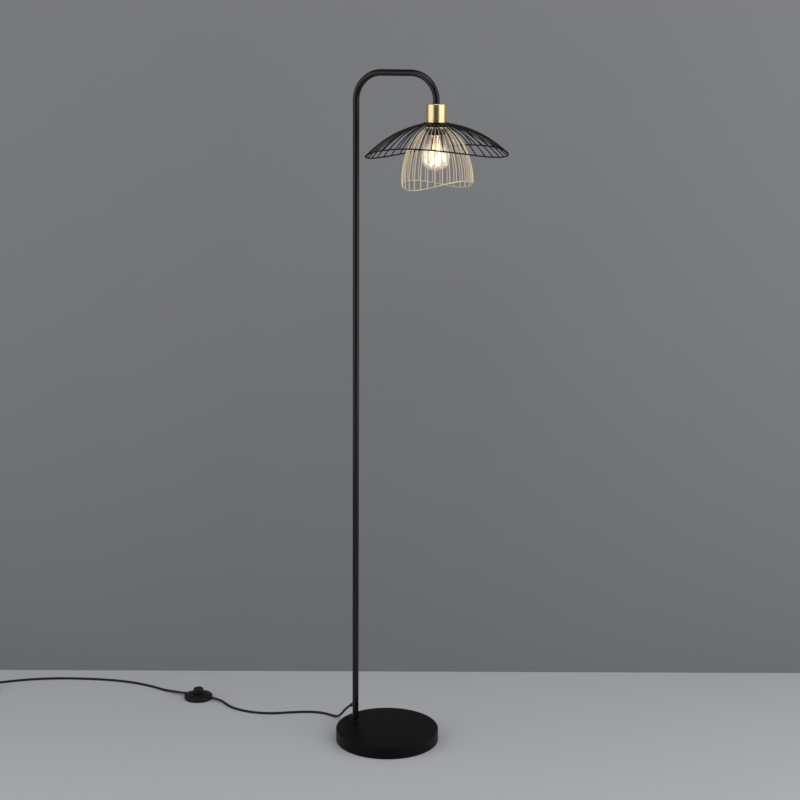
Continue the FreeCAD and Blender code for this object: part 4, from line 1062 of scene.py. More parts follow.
@dataclass
class Pole:
    """The screwed tube sections, the foot collar and the lead's relief."""

    x: float = -0.079
    tube_radius: float = 0.007
    foot: float = 0.030
    collar_radius: float = 0.009
    collar_height: float = 0.003
    exit_height: float = 0.074
    exit_azimuth: float = math.radians(140)
    exit_slope: float = math.radians(30)
    relief_neck: float = 0.00425
    relief_neck_end: float = 0.0112
    relief_collar_start: float = 0.0114
    relief_collar: float = 0.005
    relief_tip: float = 0.0037
    relief_start: float = 0.007
    relief_shoulder: float = 0.013
    relief_end: float = 0.028
    relief_grooves: int = 5
    relief_groove_depth: float = 0.0005
    collar_edge: float = 0.0009
    fit: float = 0.00005
    lead_radius: float = 0.0028

    def build(self, finishes: Finishes) -> None:
        """Dress the tubes and build the collar and the relief.

        Args:
            finishes: The lamp's finishes.
        """
        dress(finishes.powder_black, ["lower_tube", "middle_tube_low", "middle_tube_high", "upper_tube"])
        dress(finishes.zinc, ["tube_bushes", "threaded_nipples"])
        dress(finishes.lead_sheath, ["inner_lead"])
        high = self.foot + self.collar_height
        collar = lathe("foot_collar", rounded([
            (self.tube_radius + self.fit, self.foot),
            (self.collar_radius, self.foot),
            (self.collar_radius, high),
            (self.tube_radius + self.fit, high),
        ], {2: self.collar_edge}), (self.x, 0.0), finishes.powder_black, segments=64)
        show(collar, LAMP_BODY, Slot.BLACK_PAINT, "pole_collar")
        self.build_relief(finishes)

    def build_relief(self, finishes: Finishes) -> None:
        """Build the grooved relief where the lead leaves the tube."""
        profile = [
            (self.lead_radius, self.relief_start),
            (self.relief_neck, self.relief_start),
            (self.relief_neck, self.relief_neck_end),
            (self.relief_collar, self.relief_collar_start),
            (self.relief_collar, self.relief_shoulder),
        ]
        pitch = (self.relief_end - self.relief_shoulder) / self.relief_grooves
        for groove in range(self.relief_grooves):
            low = self.relief_shoulder + groove * pitch
            share = (low + pitch - self.relief_shoulder) / (self.relief_end - self.relief_shoulder)
            outside = self.relief_collar + (self.relief_tip - self.relief_collar) * share
            groove_floor = outside - self.relief_groove_depth
            profile += [
                (groove_floor, low + pitch * 0.12),
                (groove_floor, low + pitch * 0.38),
                (outside, low + pitch * 0.5),
                (outside, low + pitch * 0.98),
            ]
        profile.append((self.lead_radius, self.relief_end))
        relief = lathe("lead_relief", profile, (0.0, 0.0), finishes.rubber, segments=40)
        way = Vector((math.cos(self.exit_slope) * math.cos(self.exit_azimuth),
                      math.cos(self.exit_slope) * math.sin(self.exit_azimuth), -math.sin(self.exit_slope)))
        turn = Vector((0, 0, 1)).rotation_difference(way).to_matrix().to_4x4()
        relief.data.transform(Matrix.Translation((self.x, 0.0, self.exit_height)) @ turn)
        show(relief, LAMP_BODY, Slot.RUBBER, "cord_relief")


@dataclass
class Head:
    """The brass cup and the black threaded lampholder."""

    x: float = 0.105
    thread_hole: float = 0.00505
    cup_radius: float = 0.02175
    cup_wall: float = 0.0012
    cup_top: float = 1.430
    cup_bottom: float = 1.392
    cup_edge: float = 0.0015
    holder_radius: float = 0.019
    ledge_bore: float = 0.015
    holder_bore: float = 0.017
    holder_split: float = 1.402
    insert_bottom: float = 1.396
    skirt_bottom: float = 1.366
    thread_pitch: float = 0.0022
    thread_depth: float = 0.0006
    ring_radius: float = 0.0223
    ring_height: float = 0.0075
    ring_ribs: int = 48
    ring_edge: float = 0.0006
    rib_width: float = 0.0012
    rib_margin: float = 0.0014
    cap_slope: float = 0.008
    cap_flat: float = 0.012
    fit: float = 0.00005
    rings: tuple[tuple[str, str, float], ...] = (
        ("ring_nut_upper", "shade_ring_upper", 1.3825),
        ("ring_nut_lower", "shade_ring_lower", 1.373),
    )

    def build(self, finishes: Finishes) -> None:
        """Build the cup, the lampholder and its ring nuts.

        Args:
            finishes: The lamp's finishes.
        """
        centre = (self.x, 0.0)
        top_inside = self.cup_top - self.cup_wall
        cup = lathe("brass_cup", rounded([
            (self.thread_hole, top_inside),
            (self.cup_radius - self.cup_wall, top_inside),
            (self.cup_radius - self.cup_wall, self.cup_bottom),
            (self.cup_radius, self.cup_bottom),
            (self.cup_radius, self.cup_top),
            (self.thread_hole, self.cup_top),
        ], {1: 0.0006, 2: 0.0003, 3: 0.0003, 4: self.cup_edge}, steps=8), centre, finishes.satin_brass, 128)
        show(cup, LAMP_BODY, Slot.BRASS, "cup")
        slope_low = top_inside - self.cap_slope
        cap = lathe("holder_dome", rounded([
            (self.thread_hole, slope_low),
            (self.ledge_bore, slope_low),
            (self.ledge_bore, self.holder_split),
            (self.holder_radius, self.holder_split),
            (self.holder_radius, slope_low),
            (self.cap_flat, top_inside),
            (self.thread_hole, top_inside),
        ], {4: 0.002, 5: 0.001}), centre, finishes.holder_black)
        show(cap, LAMP_BODY, Slot.PLASTIC, "holder_cap")
        skirt = lathe("holder_thread", self.skirt_profile(), centre, finishes.holder_black)
        show(skirt, LAMP_BODY, Slot.PLASTIC, "holder_skirt")
        self.build_rings(finishes)
        dress(finishes.powder_black, ["shade_hub"])
        dress(finishes.gold_wire, ["cage_hub"])
        dress(finishes.porcelain, ["holder_insert"])
        dress(finishes.rolled_metal, ["holder_shell"])
        dress(finishes.satin_brass, ["centre_contact"])
        dress(finishes.core_brown, ["holder_cores"])

    def skirt_profile(self) -> list[tuple[float, float]]:
        """The skirt's closed profile with its coarse moulded thread."""
        root = self.holder_radius - self.thread_depth
        profile = [(self.ledge_bore, self.skirt_bottom), (root, self.skirt_bottom)]
        low = self.skirt_bottom + self.thread_pitch / 2
        while low + self.thread_pitch < self.holder_split - 0.004:
            profile += [
                (root, low),
                (self.holder_radius, low + 0.25 * self.thread_pitch),
                (self.holder_radius, low + 0.5 * self.thread_pitch),
                (root, low + 0.75 * self.thread_pitch),
            ]
            low += self.thread_pitch
        return profile + [
            (self.holder_radius, low),
            (self.holder_radius, self.holder_split),
            (self.holder_bore, self.holder_split),
            (self.holder_bore, self.insert_bottom),
            (self.ledge_bore, self.insert_bottom),
        ]

    def build_rings(self, finishes: Finishes) -> None:
        """Build both ring nuts with gripping ribs."""
        ribs = build_rib_tree()
        bore = self.holder_radius + self.fit
        body = self.ring_radius - self.ring_edge
        for name, node, low in self.rings:
            high = low + self.ring_height
            nut = lathe(f"{name}_body", rounded([(bore, low), (body, low), (body, high), (bore, high)],
                                                {1: self.ring_edge, 2: self.ring_edge}), (self.x, 0.0),
                        finishes.holder_black)
            grips = ribs.grow(f"{name}_ribs", {
                "Centre": (self.x, 0.0, low + self.ring_height / 2),
                "Ribs": self.ring_ribs,
                "Ring Radius": body,
                "Rib Width": self.rib_width,
                "Rib Height": self.ring_height - self.rib_margin,
                "Material": finishes.holder_black,
            })
            show(joined(name, (nut, grips)), LAMP_BODY, Slot.PLASTIC, node)


@dataclass
class WireShade:
    """One wire shade: bent wires welded under a hub and round a rim."""

    name: str
    body: str
    slot: Slot
    wires: int
    rim_radius: float
    rim_drop: float
    wave: float
    wave_azimuth: float
    hub_radius: float
    weld_height: float
    wire_radius: float
    rim_wire_radius: float
    bow: float
    shoulder_radius: float = 0.0
    shoulder_drop: float = 0.0
    wall_bow: float = 0.0
    weld_radius: float = 0.023
    centre: tuple[float, float, float] = (0.105, 0.0, 1.392)
    lean: float = math.radians(2.7)
    lean_azimuth: float = math.radians(-30)

    def build(self, material: bpy.types.Material) -> None:
        """Build the shade's wires and its rim.

        Args:
            material: The wires' finish.
        """
        surface = {
            "Hub Centre": self.centre,
            "Rim Radius": self.rim_radius,
            "Rim Drop": self.rim_drop,
            "Wave": self.wave,
            "Wave Azimuth": self.wave_azimuth,
            "Lean": self.lean,
            "Lean Azimuth": self.lean_azimuth,
            "Wires": self.wires,
            "Material": material,
        }
        crown = build_wire_tree(f"{self.name}_crown", self.shoulder_radius > 0)
        strands = crown.grow(f"{self.name}_strands", {
            **surface,
            "Weld Radius": self.weld_radius,
            "Weld Height": self.weld_height,
            "Hub Radius": self.hub_radius,
            "Bow": self.bow,
            "Shoulder Radius": self.shoulder_radius,
            "Shoulder Drop": self.shoulder_drop,
            "Wall Bow": self.wall_bow,
            "Wire Radius": self.wire_radius,
        })
        show(strands, self.body, self.slot, f"{self.name}_wires")
        rim = build_rim_tree().grow(f"{self.name}_hoop", {
            **surface,
            "Wire Radius": self.rim_wire_radius,
            "Bead Radius": self.rim_wire_radius * BEAD_SWELL,
        })
        show(rim, self.body, self.slot, f"{self.name}_rim")


@dataclass
class Bulb:
    """The clear rippled bulb with its lit filament sticks."""

    x: float = 0.105
    radius: float = 0.030
    bottom: float = 1.2885
    cap_bottom: float = 1.3685
    top: float = 1.3935
    neck: float = 0.0125
    neck_grip: float = 0.008
    wall: float = 0.0008
    cap_radius: float = 0.0131
    tip_radius: float = 0.005
    globe_steps: int = 40
    flutes: int = 14
    flute_depth: float = 0.012
    flute_twist: int = 9
    swells: int = 5
    swell_twist: int = 14
    swell_share: float = 0.6
    middle_share: float = 0.40
    foot_power: float = 2.3
    neck_power: float = 1.9
    cap_clearance: float = 0.00005
    cap_shoulder: float = 0.0006
    thread_turns: int = 5
    thread_steps: int = 6
    thread_depth: float = 0.0009
    thread_start: float = 0.002
    thread_margin: float = 0.003

    def outline(self, inset: float) -> list[tuple[float, float]]:
        """The blown glass's outline from its foot to its neck.

        Args:
            inset: How far inside the outer skin it runs.

        Returns:
            Corners as (radius, height).
        """
        glass = self.cap_bottom - self.bottom
        middle = self.bottom + self.middle_share * glass
        points = []
        for step in range(self.globe_steps + 1):
            rise = step / self.globe_steps
            height = self.bottom + inset + rise * (glass - inset)
            if height < middle:
                share = (middle - height) / (middle - self.bottom - inset)
                radius = self.radius * math.sqrt(max(1 - share ** self.foot_power, 0.0))
            else:
                share = (height - middle) / (self.cap_bottom - middle)
                radius = self.radius + (self.neck - self.radius) * share ** self.neck_power
            points.append((max(radius - inset, 0.0), height))
        return points

    def ripple(self, angle: float, height: float) -> float:
        """A gentle factor on the radius: soft flutes that die out at both ends."""
        share = (height - self.bottom) / (self.cap_bottom - self.bottom)
        fade = max(0.0, math.sin(math.pi * min(max(share, 0.0), 1.0)))
        slow = math.sin(self.flutes * angle + self.flute_twist * share)
        slow += self.swell_share * math.sin(self.swells * angle - self.swell_twist * share)
        return 1 - self.flute_depth * fade * (0.5 + 0.5 * slow)

    def build(self, finishes: Finishes) -> None:
        """Build the glass and the cap, and dress what is inside.

        Args:
            finishes: The lamp's finishes.
        """
        neck_top = self.cap_bottom + self.neck_grip
        outside = self.outline(0.0) + [(self.neck, neck_top)]
        inside = self.outline(self.wall) + [(self.neck - self.wall, neck_top)]
        glass = lathe("blown_glass", outside + inside[::-1], (self.x, 0.0), finishes.glass,
                      segments=168, ripple=self.ripple)
        show(glass, BULB_BODY, Slot.CLEAR_GLASS, "bulb_glass")
        cap = lathe("screw_cap", self.cap_profile(neck_top), (self.x, 0.0), finishes.rolled_metal)
        show(cap, BULB_BODY, Slot.CAP_METAL, "bulb_cap")
        dress(finishes.stem_glass, ["bulb_stem"])
        dress(finishes.glow, ["bulb_filaments"])

    def cap_profile(self, neck_top: float) -> list[tuple[float, float]]:
        """The cap's closed profile with its rolled thread."""
        shoulder = self.top - self.neck_grip / 2
        inner = self.neck + self.cap_clearance
        profile = [(0.0, neck_top), (inner, neck_top), (inner, self.cap_bottom),
                   (self.cap_radius, self.cap_bottom)]
        pitch = (shoulder - self.cap_bottom - self.thread_margin) / self.thread_turns
        for step in range(self.thread_turns * self.thread_steps + 1):
            height = self.cap_bottom + self.thread_start + step * pitch / self.thread_steps
            dip = 0.5 - 0.5 * math.cos(2 * math.pi * step / self.thread_steps)
            profile.append((self.cap_radius - self.thread_depth * dip, height))
        return profile + [
            (self.cap_radius - self.cap_shoulder, shoulder),
            (self.tip_radius, self.top),
            (0.0, self.top),
        ]


SPRING_STEPS = 24
SPRING_SIDES = 10


@dataclass
class FootSwitch:
    """The round foot switch with its large push button."""

    x: float = -0.516
    y: float = 0.044
    radius: float = 0.0335
    seam: float = 0.0032
    side: float = 0.009
    height: float = 0.013
    crown: float = 0.020
    wall: float = 0.002
    button_radius: float = 0.01175
    button_gap: float = 0.0004
    button_top: float = 0.0265
    button_edge: float = 0.003
    flange: float = 0.0018
    lead_height: float = 0.0068
    spout_radius: float = 0.0035
    spout_span: tuple[float, float] = (0.0255, 0.0375)
    spout_bore: float = 0.0028
    spout_edge: float = 0.0005
    spring_radius: float = 0.005
    spring_wire: float = 0.0005
    spring_low: float = 0.0092
    spring_top: float = 0.02445
    spring_turns: float = 4.5
    spring_keep: float = 0.735

    def build(self, finishes: Finishes) -> list[bpy.types.Object]:
        """Build the cover and the button, and dress the rest.

        Args:
            finishes: The lamp's finishes.

        Returns:
            Every piece that sits on the lead.
        """
        centre = (self.x, self.y)
        hole = self.button_radius + self.button_gap
        ceiling = self.height - self.wall
        dome = lathe("switch_dome", rounded([
            (hole, ceiling),
            (self.crown, ceiling),
            (self.radius - self.wall, self.side - self.wall / 2),
            (self.radius - self.wall, self.seam),
            (self.radius, self.seam),
            (self.radius, self.side),
            (self.crown, self.height),
            (hole, self.height),
        ], {4: 0.0006, 5: 0.0025, 6: 0.003, 7: 0.0005}), centre, finishes.switch_black, 128)
        spouts = [self.build_spout(finishes, side) for side in (1, -1)]
        shell = joined("switch_shell", (dome, *spouts))
        show(shell, LAMP_BODY, Slot.PLASTIC, "switch_cover")
        flange_top = ceiling - self.button_gap
        button = lathe("push_button", rounded([
            (0.0, self.button_top - self.wall),
            (self.button_radius - self.wall, self.button_top - self.wall),
            (self.button_radius - self.wall, flange_top - self.flange),
            (self.button_radius + self.flange, flange_top - self.flange),
            (self.button_radius + self.flange, flange_top),
            (self.button_radius, flange_top),
            (self.button_radius, self.button_top),
            (0.0, self.button_top),
        ], {6: self.button_edge}, steps=8), centre, finishes.switch_black, 96)
        show(button, SWITCH_BODY, Slot.PLASTIC, "switch_button")
        inside = {
            "switch_base": finishes.switch_black,
            "switch_block": finishes.switch_black,
            "switch_screws": finishes.zinc,
            "switch_terminals": finishes.satin_brass,
            "switch_feet": finishes.rubber,
        }
        for node, material in inside.items():
            dress(material, [node])
        spring = self.build_spring(finishes)
        show(spring, LAMP_BODY, Slot.STEEL, "switch_spring")
        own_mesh(spring)
        return [shell, button, spring] + [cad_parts[node] for node in inside]

    def build_spring(self, finishes: Finishes) -> bpy.types.Object:
        """Wind the button's return spring at its resting length; the real spring shortens as the button goes
        down.

        Args:
            finishes: The lamp's finishes.

        Returns:
            The new object.
        """
        steps = round(self.spring_turns * SPRING_STEPS)
        low, high = self.spring_low + self.spring_wire, self.spring_top - self.spring_wire
        upward = Vector((0.0, 0.0, 1.0))
        rings = []
        for step in range(steps + 1):
            angle = 2 * math.pi * step / SPRING_STEPS
            outward = Vector((math.cos(angle), math.sin(angle), 0.0))
            rise = low + (high - low) * step / steps
            middle = Vector((self.x, self.y, rise)) + outward * self.spring_radius
            turns = [2 * math.pi * corner / SPRING_SIDES for corner in range(SPRING_SIDES)]
            rings.append([middle + (outward * math.cos(turn) + upward * math.sin(turn)) * self.spring_wire
                          for turn in turns])
        return loft("return_spring", rings, finishes.zinc)

    def build_spout(self, finishes: Finishes, side: int) -> bpy.types.Object:
        """Build one spout that the lead passes through.

        Args:
            finishes: The lamp's finishes.
            side: 1 towards the lamp, -1 towards the plug.

        Returns:
            The new object.
        """
        low, high = self.spout_span
        spout = lathe(f"spout_{side}", rounded([
            (self.spout_bore, low),
            (self.spout_radius, low),
            (self.spout_radius, high),
            (self.spout_bore, high),
        ], {2: self.spout_edge}), (0.0, 0.0), finishes.switch_black, 32)
        turn = Matrix.Rotation(math.radians(90 * side), 4, "Y")
        spout.data.transform(Matrix.Translation((self.x, self.y, self.lead_height)) @ turn)
        return spout


@dataclass
class MainsLead:
    """The round lead from the pole through the switch to the coil and plug."""

    diameter: float = 0.0055
    coil_place: Matrix = field(default_factory=lambda: (
        Matrix.Translation((-1.0265, -0.1346, 0.0043)) @ Matrix.Rotation(math.radians(137), 4, "Z")))
    coil_radius: float = 33.0
    coil_step: float = 6.1
    half_turns: int = 8
    climb_turn: int = 3
    knots_per_half: int = 6
    near_points: tuple[tuple[float, float, float], ...] = (
        (-97.58, 15.59, 60.0),
        (-114.2, 29.5, 47.5),
        (-140.3, 51.4, 16.5),
        (-158.0, 66.2, 2.8),
        (-196.0, 77.0, 2.8),
        (-232.0, 69.0, 2.8),
        (-268.0, 49.0, 2.8),
        (-306.0, 23.0, 2.8),
        (-354.0, 10.0, 2.8),
        (-398.0, 14.0, 2.8),
        (-425.0, 25.0, 2.8),
        (-457.0, 44.0, 6.8),
        (-492.0, 44.0, 6.8),
    )
    far_points: tuple[tuple[float, float, float], ...] = (
        (-540.0, 44.0, 6.8),
        (-575.0, 44.0, 6.8),
        (-612.0, 50.0, 2.8),
        (-655.0, 60.0, 2.8),
        (-705.0, 64.0, 2.8),
        (-755.0, 58.5, 2.8),
        (-803.0, 47.0, 2.8),
        (-848.0, 32.0, 2.8),
        (-893.0, 13.5, 2.8),
        (-935.0, -9.0, 2.8),
        (-975.0, -37.0, 2.8),
        (-1011.0, -69.7, 2.8),
    )
    tail_points: tuple[tuple[float, float, float], ...] = (
        (33.0, 9.66, 6.1),
        (33.0, 25.5, 6.1),
        (23.0, 48.0, 4.3),
        (3.0, 62.0, 2.5),
        (-17.0, 62.0, 2.5),
    )
    near_length: float = 0.453
    far_length: float = 1.41
    plug_width: float = 0.035
    plug_thickness: float = 0.0136
    plug_length: float = 0.038
    plug_taper: float = 0.009
    plug_outline: tuple[tuple[float, float], ...] = ((0.012, 1.0), (0.0365, 1.0), (0.0376, 0.97))
    plug_ribs: int = 3
    plug_rib_start: float = 0.0015
    plug_rib_pitch: float = 0.0024
    plug_rib_step: float = 0.0006
    plug_rib_waist: float = 0.93
    plug_squareness: float = 0.55
    coil_entry: float = -29.5
    tie_gap: float = 0.25
    tie_corner: float = 1.6
    tie_steps: int = 5
    tie_along: float = -3.0
    tie_width: float = 10.0
    tie_span: tuple[float, float] = (23.3, 36.2)
    tie_wrap: float = 1.0

    def coil_points(self) -> list[Vector]:
        """The coil's control points in its own frame, in millimetres.

        Returns:
            Points from the lead's first touch of the coil to its last.
        """
        step_angle = math.pi / self.knots_per_half
        stretch = 1 / math.cos(step_angle / 2)
        points = [
            Vector((self.coil_radius, self.coil_entry, 0.0)),
            Vector((self.coil_radius, -self.coil_radius * math.tan(step_angle / 2), 0.0)),
        ]
        edge = self.coil_radius
        inwards = self.climb_turn
        for turn in range(self.half_turns):
            shrink = min(turn, 2 * inwards - turn)
            radius = self.coil_radius - shrink * self.coil_step / 2
            side = 1 if turn % 2 == 0 else -1
            centre = edge - side * radius
            for knot in range(self.knots_per_half):
                angle = (knot + 0.5) * step_angle
                if turn < inwards:
                    rise = 0.0
                elif turn == inwards:
                    rise = self.coil_step / 2 * (1 - math.cos(angle))
                else:
                    rise = self.coil_step
                points.append(Vector((
                    centre + side * radius * stretch * math.cos(angle),
                    side * radius * stretch * math.sin(angle),
                    rise,
                )))
            edge -= 2 * side * radius
        return points

    def build(self, finishes: Finishes) -> None:
        """Build both runs of the lead, the tie and the plug.

        Args:
            finishes: The lamp's finishes.
        """
        near = [Vector(point) * MILLIMETRE for point in self.near_points]
        far = [Vector(point) * MILLIMETRE for point in self.far_points]
        coil = [self.coil_place @ (point * MILLIMETRE) for point in self.coil_points()]
        tail = [self.coil_place @ (Vector(point) * MILLIMETRE) for point in self.tail_points]
        self.near_lead = self.build_lead("lead_near", near, finishes)
        show(self.near_lead, LAMP_BODY, Slot.LEAD, "cord_lead")
        self.far_lead = self.build_lead("lead_far", far + coil + tail, finishes)
        show(self.far_lead, LAMP_BODY, Slot.LEAD, "cord_run", "cord_coil", "cord_tail")
        self.plug = self.build_plug(tail[-1], finishes)
        show(self.plug, LAMP_BODY, Slot.PLASTIC, "plug_body")
        self.tie = self.build_tie(finishes)
        show(self.tie, LAMP_BODY, Slot.PLASTIC, "cord_tie")
        dress(finishes.satin_brass, ["plug_pins"])

    def build_lead(self, name: str, points: Sequence[Vector], finishes: Finishes) -> bpy.types.Object:
        """Build one run of the lead as a smooth curve.

        Args:
            name: The run's name.
            points: Its control points.
            finishes: The lamp's finishes.

        Returns:
            The new object.
        """
        data = bpy.data.curves.new(name, "CURVE")
        data.dimensions = "3D"
        spline = data.splines.new("NURBS")
        spline.points.add(len(points) - 1)
        for knot, point in zip(spline.points, points):
            knot.co = (*point, 1.0)
        spline.order_u = 3
        spline.use_endpoint_u = True
        spline.resolution_u = 6
        data.bevel_depth = self.diameter / 2
        data.bevel_resolution = 4
        data.use_fill_caps = True
        data.materials.append(finishes.lead_sheath)
        run = bpy.data.objects.new(name, data)
        bpy.context.scene.collection.objects.link(run)
        return run

    def build_plug(self, entry: Vector, finishes: Finishes) -> bpy.types.Object:
        """Build the flat plug body, narrowed and ribbed at the lead.

        Args:
            entry: Where the lead enters it.
            finishes: The lamp's finishes.

        Returns:
            The new object.
        """
        around = 48
        rings = []
        stations = [(0.0, 0.46), (0.0005, 0.5)]
        for rib in range(self.plug_ribs):
            along = self.plug_rib_start + rib * self.plug_rib_pitch
            share = 0.5 + 0.5 * along / self.plug_taper
            step, waist = self.plug_rib_step, share * self.plug_rib_waist
            stations += [(along, share), (along + step, waist), (along + 2 * step, waist),
                         (along + 3 * step, share + 0.04)]
        stations += [(self.plug_taper, 0.98), *self.plug_outline, (self.plug_length, 0.92)]
        turn = self.coil_place.to_3x3() @ Matrix.Rotation(math.pi, 3, "Z")
        for along, share in stations:
            ring = []
            for step in range(around):
                angle = 2 * math.pi * step / around
                wide = abs(math.cos(angle)) ** self.plug_squareness * math.copysign(1, math.cos(angle))
                thick = abs(math.sin(angle)) ** self.plug_squareness * math.copysign(1, math.sin(angle))
                corner = Vector((along, wide * self.plug_width / 2 * share,
                                 thick * self.plug_thickness / 2 * share))
                ring.append(entry + turn @ corner)
            rings.append(ring)
        return loft("plug_shell", rings, finishes.switch_black)

    def build_tie(self, finishes: Finishes) -> bpy.types.Object:
        """Build the flat band that holds the coil together.

        Args:
            finishes: The lamp's finishes.

        Returns:
            The new object.
        """
        low, high = self.tie_span
        reach = self.diameter / MILLIMETRE / 2 + self.tie_gap
        wrap = self.tie_wrap
        inner = [(low, -reach), (high, -reach), (high, self.coil_step + reach), (low, self.coil_step + reach)]
        outer = [(low - wrap, -reach - wrap), (high + wrap, -reach - wrap),
                 (high + wrap, self.coil_step + reach + wrap), (low - wrap, self.coil_step + reach + wrap)]
        corners = range(len(outer))
        inside = rounded(inner, {key: self.tie_corner / 2 for key in corners}, self.tie_steps)
        outside = rounded(outer, {key: self.tie_corner for key in corners}, self.tie_steps)
        shape = bmesh.new()
        edges = (self.tie_along - self.tie_width / 2, self.tie_along + self.tie_width / 2)
        rows = [[shape.verts.new(self.coil_place @ (Vector((along, y, z)) * MILLIMETRE)) for y, z in loop]
                for along in edges for loop in (outside, inside)]
        count = len(outside)
        for first, second in ((0, 2), (3, 1), (1, 0), (2, 3)):
            for step in range(count):
                following = (step + 1) % count
                shape.faces.new([rows[first][step], rows[first][following], rows[second][following],
                                 rows[second][step]])
        mesh = bpy.data.meshes.new("tie_band")
        shape.to_mesh(mesh)
        shape.free()
        return finish_mesh("tie_band", mesh, finishes.switch_black)


# ---------------------------------------------------------------------------
# Studio
# ---------------------------------------------------------------------------


@dataclass
class Studio:
    """The floor, the wall behind, the soft lamps and the camera."""

    floor_tone: float = 0.60
    wall_tone: float = 0.24
    wall_distance: float = 0.43
    stage_reach: float = 6.0
    wall_height: float = 5.0
    glow_place: tuple[float, float, float] = (0.105, 0.0, 1.318)
    glow_power: float = 1.4
    glow_size: float = 0.02
    sky_strength: float = 0.04
    camera_place: tuple[float, float, float] = (1.4643, -3.3884, 1.5555)
    azimuth: float = 0.40792
    yaw: float = 0.00669
    pitch: float = 0.204653
    roll: float = 0.00639
    lens: float = 77.565
    sensor: float = 36.0

    def build(self) -> None:
        """Set up the stage, the light and the camera."""
        self.build_stage()
        self.build_lights()
        self.build_camera()

    def to_lamp(self, point: Vector) -> Vector:
        """Turn a direction of the camera's upright frame into the lamp's."""
        return Matrix.Rotation(self.azimuth, 3, "Z") @ point

    def backdrop(self, name: str, tone: float, grain: float) -> bpy.types.Material:
        """A plain painted surface with the faintest unevenness.

        Args:
            name: The material's name.
            tone: Its brightness.
            grain: The scale of its unevenness.

        Returns:
            The new material.
        """
        light = (tone * 0.97, tone * 0.99, tone * 1.03)
        dark = (tone * 0.94, tone * 0.96, tone)
        return Finish(name, light, dark, (0.7, 0.8), grain_scale=grain, blotch_scale=1.5,
                      relief=0.0001).build()

    def one_sided(self, material: bpy.types.Material) -> bpy.types.Material:
        """Let a backdrop be seen from its front only, so that it hides nothing from behind.

        Args:
            material: The backdrop's paint.

        Returns:
            The same material.
        """
        tree = material.node_tree
        side = tree.nodes.new("ShaderNodeNewGeometry")
        clear = tree.nodes.new("ShaderNodeBsdfTransparent")
        choice = tree.nodes.new("ShaderNodeMixShader")
        tree.links.new(side.outputs["Backfacing"], choice.inputs["Fac"])
        tree.links.new(tree.nodes["Principled BSDF"].outputs["BSDF"], choice.inputs[1])
        tree.links.new(clear.outputs["BSDF"], choice.inputs[2])
        tree.links.new(choice.outputs["Shader"], tree.nodes["Material Output"].inputs["Surface"])
        return material

    def build_stage(self) -> None:
        """Lay the floor and stand the wall behind the lamp."""
        away = self.to_lamp(Vector((0.0, 1.0, 0.0)))
        across = self.to_lamp(Vector((1.0, 0.0, 0.0)))
        foot = away * self.wall_distance
        near = foot - away * self.stage_reach
        width = across * self.stage_reach
        rise = Vector((0, 0, self.wall_height))
        self.plane("studio_floor", [near - width, near + width, foot + width, foot - width],
                   self.backdrop("floor_paint", self.floor_tone, 300))
        self.plane("studio_wall", [foot - width, foot + width, foot + width + rise, foot - width + rise],
                   self.one_sided(self.backdrop("wall_paint", self.wall_tone, 200)))

    def plane(self, name: str, corners: Sequence[Vector], material: bpy.types.Material) -> None:
        """Make a flat sheet of the stage."""
        mesh = bpy.data.meshes.new(name)
        mesh.from_pydata([tuple(corner) for corner in corners], [], [(0, 1, 2, 3)])
        mesh.materials.append(material)
        sheet = bpy.data.objects.new(name, mesh)
        bpy.context.scene.collection.objects.link(sheet)

    def softbox(self, name: str, place: Vector, target: Vector, size: tuple[float, float],
                power: float) -> None:
        """Hang a soft rectangular lamp that looks at a point.

        Args:
            name: The lamp's name.
            place: Where it hangs, in the camera's upright frame.
            target: Where it looks, in the same frame.
            size: Its width and height.
            power: Its power in watts.
        """
        data = bpy.data.lights.new(name, "AREA")
        data.shape = "RECTANGLE"
        data.size, data.size_y = size
        data.energy = power
        lamp = bpy.data.objects.new(name, data)
        lamp.location = self.to_lamp(place)
        look = self.to_lamp(target - place)
        lamp.rotation_euler = look.to_track_quat("-Z", "Y").to_euler()
        bpy.context.scene.collection.objects.link(lamp)

    def build_lights(self) -> None:
        """Hang the studio's lamps and the bulb's own warm light."""
        self.softbox("key_left", Vector((-1.9, -1.3, 1.5)), Vector((0.0, -1.1, 1.3)), (3.0, 2.8), 30)
        self.softbox("key_right", Vector((1.9, -1.3, 1.5)), Vector((0.0, -1.1, 1.3)), (3.0, 2.8), 38)
        self.softbox("top_soft", Vector((0.2, -1.6, 3.4)), Vector((0.1, -1.0, 0.0)), (2.6, 1.6), 38)
        data = bpy.data.lights.new("bulb_glow", "POINT")
        data.color = (1.0, 0.80, 0.56)
        data.energy = self.glow_power
        data.shadow_soft_size = self.glow_size
        glow = bpy.data.objects.new("bulb_glow", data)
        glow.location = self.glow_place
        glow.visible_camera = False
        glow.visible_transmission = False
        glow.visible_glossy = False
        bpy.context.scene.collection.objects.link(glow)
        world = bpy.data.worlds.new("studio")
        world.use_nodes = True
        sky = world.node_tree.nodes["Background"]
        sky.inputs["Color"].default_value = (0.85, 0.92, 1.0, 1.0)
        sky.inputs["Strength"].default_value = self.sky_strength
        bpy.context.scene.world = world

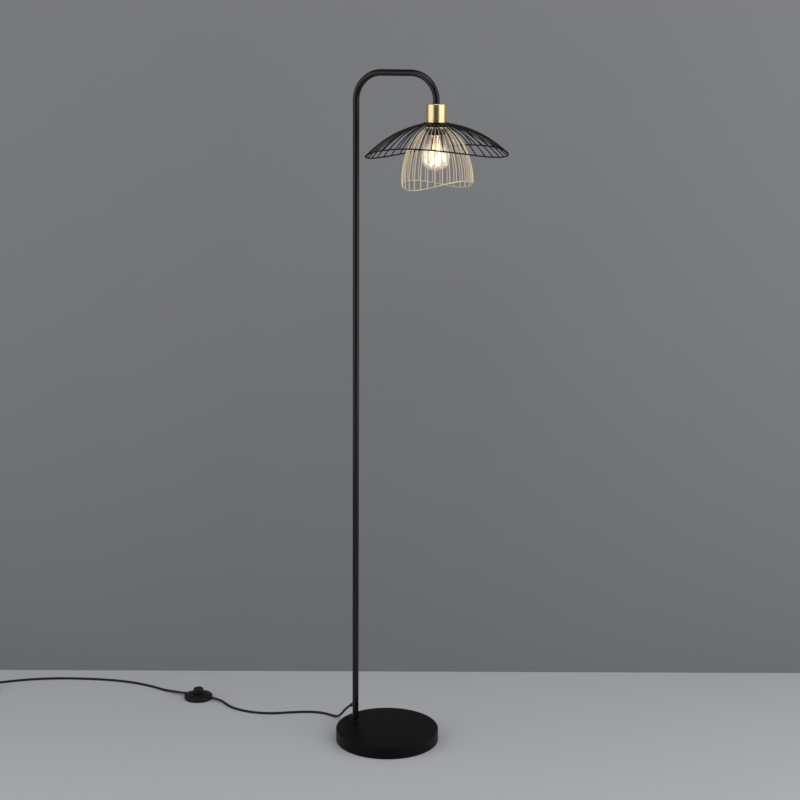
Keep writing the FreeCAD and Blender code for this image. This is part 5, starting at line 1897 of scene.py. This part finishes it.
    def build_camera(self) -> None:
        """Stand the camera where the photograph was taken."""
        ahead = Vector((math.sin(self.yaw) * math.cos(self.pitch), math.cos(self.yaw) * math.cos(self.pitch),
                        -math.sin(self.pitch)))
        right = Vector((math.cos(self.yaw), -math.sin(self.yaw), 0.0))
        up = right.cross(ahead)
        turned_right = right * math.cos(self.roll) + up * math.sin(self.roll)
        turned_up = up * math.cos(self.roll) - right * math.sin(self.roll)
        columns = [self.to_lamp(axis) for axis in (turned_right, turned_up, -ahead)]
        data = bpy.data.cameras.new("view")
        data.lens = self.lens
        data.sensor_width = self.sensor
        camera = bpy.data.objects.new("view", data)
        matrix = Matrix(columns).transposed().to_4x4()
        matrix.translation = self.camera_place
        camera.matrix_world = matrix
        bpy.context.scene.collection.objects.link(camera)
        bpy.context.scene.camera = camera


def joined(name: str, pieces: Sequence[bpy.types.Object]) -> bpy.types.Object:
    """Make one piece out of several that share a finish.

    Args:
        name: The new piece's name.
        pieces: The pieces, which are used up.

    Returns:
        The new object.
    """
    shape = bmesh.new()
    for piece in pieces:
        shape.from_mesh(piece.data)
    mesh = bpy.data.meshes.new(name)
    shape.to_mesh(mesh)
    shape.free()
    mesh.materials.append(pieces[0].data.materials[0])
    whole = bpy.data.objects.new(name, mesh)
    bpy.context.scene.collection.objects.link(whole)
    for piece in pieces:
        bpy.data.objects.remove(piece)
    return whole


def main() -> None:
    """Build the scene."""
    logging.basicConfig(level=logging.INFO, format="%(message)s")
    bpy.context.scene.view_settings.view_transform = "Standard"
    studio = Studio()
    studio.build()
    finishes = Finishes()
    lead = MainsLead()
    lead.build(finishes)
    Base().build(finishes)
    Pole().build(finishes)
    Head().build(finishes)
    WireShade(
        name="shade", body=LAMP_BODY, slot=Slot.BLACK_PAINT, wires=40,
        rim_radius=0.150, rim_drop=0.0623, wave=0.0111, wave_azimuth=math.radians(85),
        hub_radius=0.027, weld_height=-0.0027392, wire_radius=0.0012, rim_wire_radius=0.0015, bow=0.0105,
    ).build(finishes.wire_black)
    WireShade(
        name="cage", body=LAMP_BODY, slot=Slot.GOLD_WIRE, wires=30,
        rim_radius=0.0745, rim_drop=0.1302, wave=0.0084, wave_azimuth=math.radians(156),
        hub_radius=0.026, weld_height=-0.0121526, wire_radius=0.0011, rim_wire_radius=0.0013, bow=0.006,
        shoulder_radius=0.065, shoulder_drop=0.066, wall_bow=0.0036,
    ).build(finishes.gold_wire)
    Bulb().build(finishes)
    FootSwitch().build(finishes)


if __name__ == "__main__":
    main()
